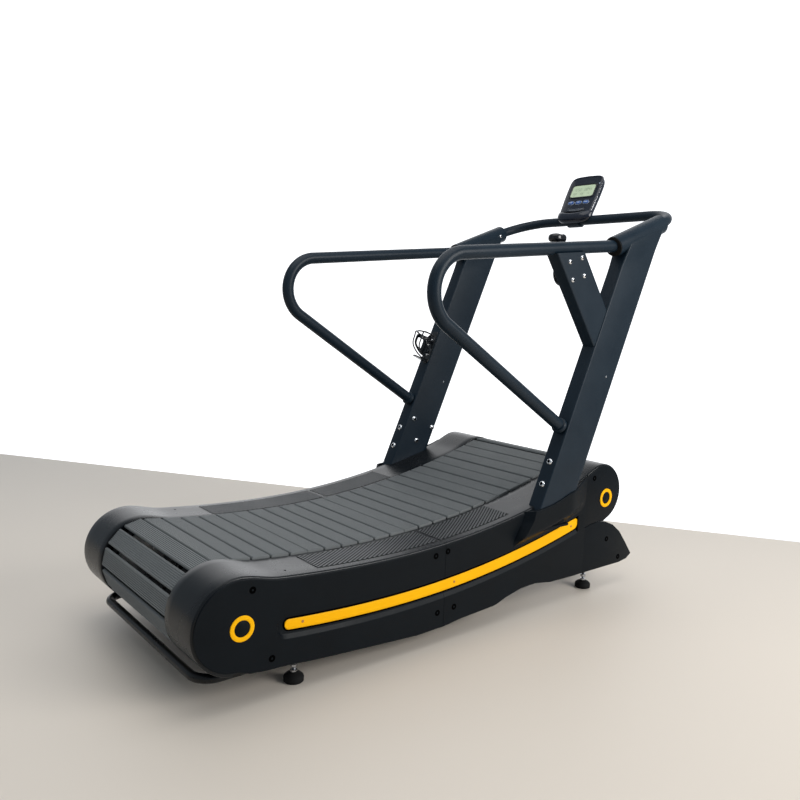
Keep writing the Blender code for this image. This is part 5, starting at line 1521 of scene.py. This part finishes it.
    def bracket(self) -> None:
        """Screws that hold the console to its clamp."""
        screws = Screws()
        back = tuple(Vector(self.at(0.0, 0.0, -1.0)) - Vector(self.at(0.0, 0.0, 0.0)))
        for x in (-0.048, 0.048):
            for v in (0.085, 0.165):
                screws.put(self.at(x, v, -0.0355), back, 0.0050)
        screws.place("console_back_screws", finish=STEEL)

    def build(self) -> None:
        """Build the whole console."""
        self.housing()
        self.display()
        self.keys()
        self.chin()
        self.bracket()


# ---------------------------------------------------------------- fittings
@dataclass
class Fittings:
    """Levelling feet, transport wheels, lift bar and bottle cage."""

    foot_x: float = 0.345
    stem_top: float = 0.0645
    wheel: Spot = (0.200, 0.816, 0.078)
    cage_x: float = -0.3918

    def feet(self) -> None:
        """Four levelling feet: rubber pad, plated stem and two nuts."""
        for end, y in (("rear", -0.525), ("front", 0.725)):
            for side in Side:
                place = (self.foot_x, y, 0.0)
                pad = [(0.0, 0.0), (0.0262, 0.0), (0.0280, 0.0016), (0.0282, 0.0120), (0.0268, 0.0165),
                       (0.0215, 0.0215), (0.0150, 0.0245), (0.0110, 0.0270), (0.0, 0.0270)]
                Bench.sided(side, "foot_pad_%s" % end, lathe(pad, place, UPWARD, 44), RUBBER,
                            stands_for="levelling_foot_%s" % end)
                stem: list[Point] = [(0.0, 0.0265), (0.0056, 0.0265)]
                z = 0.029
                while z < self.stem_top - 0.003:
                    stem += [(0.0060, z), (0.0053, z + 0.0008)]
                    z += 0.0016
                stem += [(0.0053, self.stem_top), (0.0, self.stem_top)]
                bm = lathe(stem, place, UPWARD, 28)
                for low, high in ((0.0275, 0.0335), (0.0420, 0.0500)):
                    nut = [(0.0062, low), (0.0098, low), (0.0108, low + 0.0010), (0.0108, high - 0.0010),
                           (0.0098, high), (0.0062, high)]
                    lathe(nut, place, UPWARD, 6, bm)
                Bench.sided(side, "foot_stem_%s" % end, bm, STEEL)

    def wheels(self) -> None:
        """Two transport wheels, tyre and hub, on their own bodies."""
        for side in Side:
            tyre = [(0.0240, 0.0120), (0.0300, 0.0128), (0.0325, 0.0118), (0.0338, 0.0090), (0.0340, 0.0040),
                    (0.0332, 0.0), (0.0340, -0.0040), (0.0338, -0.0090), (0.0325, -0.0118), (0.0300, -0.0128),
                    (0.0240, -0.0120)]
            body = "transport_wheel_" + side.label
            Bench.sided(side, "wheel_tyre", lathe(tyre, self.wheel, RIGHTWARD, 48), RUBBER,
                        stands_for="transport_wheel", body=body)
            hub = [(0.0, 0.0215), (0.0045, 0.0215), (0.0050, 0.0205), (0.0050, 0.0135), (0.0090, 0.0130),
                   (0.0105, 0.0105), (0.0150, 0.0080), (0.0220, 0.0085), (0.0240, 0.0105), (0.0240, -0.0105),
                   (0.0220, -0.0085), (0.0150, -0.0080), (0.0105, -0.0105), (0.0090, -0.0130),
                   (0.0050, -0.0135),
                   (0.0050, -0.0205), (0.0045, -0.0215), (0.0, -0.0215)]
            Bench.sided(side, "wheel_hub", lathe(hub, self.wheel, RIGHTWARD, 40), GLOSS, body=body)

    def lift_bar(self) -> None:
        """Bent bar under the rear end."""
        x, top = 0.3450, 0.0645
        path = bent_path([(x, -0.560, top), (x, -0.560, 0.075), (x, -0.800, 0.075), (-x, -0.800, 0.075),
                          (-x, -0.560, 0.075), (-x, -0.560, top)], [0.004, 0.055, 0.055, 0.004],
                         math.radians(6.0))
        Bench.add("rear_lift_bar", tube(path, 0.013, 24), TUBE_BLACK, replaces=["lift_bar"])

    def cage(self, rails: Frame) -> None:
        """Moulded bottle cage on the left upright.

        Args:
            rails: the frame that it is screwed to.
        """
        foot = Vector((self.cage_x,
                       rails.rear_point[0] + (0.782 - rails.rear_point[1]) * math.tan(rails.lean),
                       0.782)) - rails.ahead * 0.0003

        def at(x: float, out: float, up: float) -> Spot:
            return tuple(foot + Vector((x, 0.0, 0.0)) - rails.ahead * out + rails.up * up)

        plate = [[at(x, out, up)
                  for x, up in squircle((0.0170 - inset, 0.0700 - inset), 7.0, 64, (0.0, 0.070))]
                 for out, inset in ((0.0, 0.0), (0.0038, 0.0), (0.0048, 0.0010), (0.0051, 0.0030))]
        bm = stack(plate)
        for sign in (-1.0, 1.0):
            rings = []
            for radius, inset in ((0.0385, 0.0010), (0.0392, 0.0), (0.0412, 0.0), (0.0420, 0.0010)):
                rings.append(self.wing(at, sign, radius, inset, False))
            rings += [self.wing(at, sign, radius, -inset, True) for radius, inset in
                      ((0.0420, 0.0010), (0.0412, 0.0), (0.0392, 0.0), (0.0385, 0.0010))]
            stack(rings, closed=True, bm=bm)
            path = [Vector(at(sign * 0.0385, 0.052, 0.1085)), Vector(at(sign * 0.026, 0.082, 0.1080)),
                    Vector(at(sign * 0.024, 0.083, 0.088)), Vector(at(sign * 0.022, 0.082, 0.062)),
                    Vector(at(sign * 0.018, 0.074, 0.044)), Vector(at(sign * 0.014, 0.052, 0.028)),
                    Vector(at(sign * 0.011, 0.026, 0.018)), Vector(at(sign * 0.008, 0.003, 0.012))]
            tube(self.smooth(path), 0.0028, 16, bm)
        hoop = [Vector(at(0.0415 * math.sin(math.radians(a)), 0.044 - 0.0415 * math.cos(math.radians(a)),
                          0.1085))
                for a in range(28, 333, 8)]
        tube(hoop, 0.0030, 16, bm)
        shelf = [[at(x, 0.036 + d, up) for x, d in squircle((0.0120 - inset, 0.0340 - inset), 4.0, 48)]
                 for up, inset in ((0.0030, 0.0010), (0.0040, 0.0), (0.0075, 0.0), (0.0085, 0.0010))]
        stack(shelf, bm=bm)
        Bench.add("bottle_cage_moulding", bm, GLOSS, replaces=["bottle_cage"])
        screws = Screws()
        for up in (0.034, 0.100):
            screws.put(at(0.0, 0.0052, up), tuple(-rails.ahead), 0.0050)
        screws.place("bottle_cage_screws")

    @staticmethod
    def wing(at: Callable[[float, float, float], Spot], sign: float, radius: float, inset: float,
             hole: bool) -> list[Spot]:
        """Outline of one wing of the cage, or of the slot in it, wrapped round the bottle."""
        points = []
        for a in range(48):
            c, s = math.cos(math.tau * a / 48), math.sin(math.tau * a / 48)
            across = math.copysign(abs(c) ** 0.45, c)
            up = math.copysign(abs(s) ** 0.45, s)
            turn = 72.0 + (21.0 if hole else 46.0) * across + (6.0 if hole else 0.0)
            low = 0.020 + 0.00050 * max(0.0, turn - 26.0)
            middle, half = (0.106 + low) / 2.0, (0.106 - low) / 2.0 - inset
            half = half - 0.012 if hole else half
            angle = math.radians(turn)
            points.append(at(sign * radius * math.sin(angle), 0.044 - radius * math.cos(angle),
                             middle + half * up))
        return points

    @staticmethod
    def smooth(points: Sequence[Vector]) -> list[Vector]:
        """Rounded line through points."""
        ends = [points[0] * 2.0 - points[1], *points, points[-1] * 2.0 - points[-2]]
        path = []
        for a, b, c, d in zip(ends, ends[1:], ends[2:], ends[3:]):
            for i in range(4):
                t = i / 4.0
                path.append(0.5 * (2.0 * b + (c - a) * t + (2.0 * a - 5.0 * b + 4.0 * c - d) * t * t
                                   + (3.0 * b - a - 3.0 * c + d) * t ** 3))
        path.append(points[-1])
        return path

    def build(self, rails: Frame) -> None:
        """Build every fitting."""
        self.feet()
        self.wheels()
        self.lift_bar()
        self.cage(rails)


# ---------------------------------------------------------------- studio
@dataclass
class Studio:
    """Camera, floor and soft light."""

    heading: float = math.radians(50.82)
    down: float = math.radians(7.316)
    roll: float = math.radians(1.764)
    place: Spot = (2.0886, -1.6010, 1.0429)
    focal: float = 35.3169
    sensor: float = 36.0
    floor_half: float = 7.0
    floor_turn: float = math.radians(33.2)
    floor_shift: float = 5.766
    bright_way: Spot = (-0.766, 0.620, 0.170)
    bright_from: float = 0.82
    bright_to: float = 0.95
    sky_strength: float = 1.5
    floor_tone: Spot = (0.68, 0.61, 0.53)
    floor_roughness: float = 0.55
    floor_drop: float = 0.0005
    dim_side: Spot = (0.20, 0.225, 0.25)
    far_wall: Spot = (0.97, 0.98, 1.0)

    def camera(self) -> None:
        """Set the camera at the rear right of the machine."""
        back = Vector((math.sin(self.heading) * math.cos(self.down),
                       -math.cos(self.heading) * math.cos(self.down),
                       math.sin(self.down)))
        right = Vector((math.cos(self.heading), math.sin(self.heading), 0.0))
        up = back.cross(right)
        c, s = math.cos(self.roll), math.sin(self.roll)
        turn = Matrix((right * c + up * s, up * c - right * s, back)).transposed().to_4x4()
        turn.translation = Vector(self.place) - Vector((0.0, MID_Y, 0.0))
        data = bpy.data.cameras.new("studio_camera")
        data.sensor_width = self.sensor
        data.lens = self.focal
        camera = bpy.data.objects.new("studio_camera", data)
        camera.matrix_world = turn
        bpy.context.scene.collection.objects.link(camera)
        bpy.context.scene.camera = camera

    def lamp(self, name: str, place: Spot, aim: Spot, size: Point, power: float, colour: Spot) -> None:
        """Add one soft rectangular lamp.

        Args:
            name: its name.
            place: where it is.
            aim: what it points at.
            size: its two sides.
            power: its power in watts.
            colour: its colour.
        """
        data = bpy.data.lights.new(name, "AREA")
        data.shape = "RECTANGLE"
        data.size, data.size_y = size
        data.energy = power
        data.color = colour
        lamp = bpy.data.objects.new(name, data)
        lamp.location = place
        lamp.rotation_euler = (Vector(aim) - Vector(place)).to_track_quat("-Z", "Y").to_euler()
        bpy.context.scene.collection.objects.link(lamp)

    def sky(self) -> None:
        """Light the machine from one broad pale side; the side behind the camera is dimmer."""
        world = bpy.data.worlds.new("studio_world")
        world.use_nodes = True
        tree = world.node_tree
        facing = tree.nodes.new("ShaderNodeVectorMath")
        facing.operation = "DOT_PRODUCT"
        facing.inputs[1].default_value = self.bright_way
        tree.links.new(tree.nodes.new("ShaderNodeTexCoord").outputs["Generated"], facing.inputs[0])
        spread = add_node(tree, "MapRange", {"From Min": -1.0}, {"Value": facing.outputs["Value"]})
        ramp = add_node(tree, "ValToRGB", links={"Fac": spread.outputs["Result"]})
        ramp.color_ramp.interpolation = "EASE"
        for stop, at, colour in zip(ramp.color_ramp.elements, (self.bright_from, self.bright_to),
                                    (self.dim_side, self.far_wall)):
            stop.position = at
            stop.color = (*colour, 1.0)
        ground = tree.nodes["Background"]
        tree.links.new(ramp.outputs["Color"], ground.inputs["Color"])
        ground.inputs["Strength"].default_value = self.sky_strength
        bpy.context.scene.world = world

    def build(self) -> None:
        """Set up the whole studio."""
        self.camera()
        bpy.context.scene.view_settings.view_transform = "Standard"
        bm = bmesh.new()
        bmesh.ops.create_grid(bm, x_segments=1, y_segments=1, size=self.floor_half)
        mesh = bpy.data.meshes.new("studio_floor")
        bm.to_mesh(mesh)
        bm.free()
        paint = bpy.data.materials.new("pale floor")
        paint.use_nodes = True
        shader = paint.node_tree.nodes["Principled BSDF"]
        shader.inputs["Base Color"].default_value = (*self.floor_tone, 1.0)
        shader.inputs["Roughness"].default_value = self.floor_roughness
        mesh.materials.append(paint)
        floor = bpy.data.objects.new("studio_floor", mesh)
        floor.rotation_euler = (0.0, 0.0, self.floor_turn)
        floor.location = (self.floor_shift * math.sin(self.floor_turn),
                          -self.floor_shift * math.cos(self.floor_turn), -self.floor_drop)
        bpy.context.scene.collection.objects.link(floor)
        self.sky()
        self.lamp("overhead_soft", (0.3, -0.4, 3.6), (0.0, 0.0, 0.4), (3.6, 2.6), 56.0, (1.0, 0.99, 0.97))
        self.lamp("rear_window", (-1.6, -4.2, 1.9), (-0.2, -0.8, 0.4), (1.8, 1.6), 2.0, (0.86, 0.93, 1.0))
        self.lamp("near_window", (4.4, 1.9, 2.3), (0.3, 0.1, 0.5), (2.6, 2.2), 175.0, (1.0, 0.99, 0.97))


def dress_frame() -> None:
    """Give every carried-over CAD node its finish."""
    plans: tuple[tuple[Finish, tuple[str, ...]], ...] = (
        (POWDER_COAT, ("console_clamp",)),
        (FRAME_BLACK, ("frame_weldment", "guide_plate_right", "guide_plate_left")),
        (STEEL, ("brake_disc", "magnet_carrier", "front_drum", "rear_drum",
                 "bearing_front_right", "bearing_front_left", "bearing_rear_right", "bearing_rear_left",
                 *("guide_roller_%d" % i for i in range(1, 6)))),
        (RUBBER, ("brake_cable",)),
    )
    for finish, names in plans:
        for name in names:
            Bench.dress(name, finish)


def main() -> None:
    """Load the frame and build the whole visual model."""
    logging.basicConfig(level=logging.INFO, format="%(name)s: %(message)s")
    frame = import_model()
    Studio().build()
    BELT.build()
    Covers().build()
    rails = Frame()
    rails.build()
    Lever().build(rails)
    Console().build()
    Fittings().build(rails)
    dress_frame()


if __name__ == "__main__":
    main()
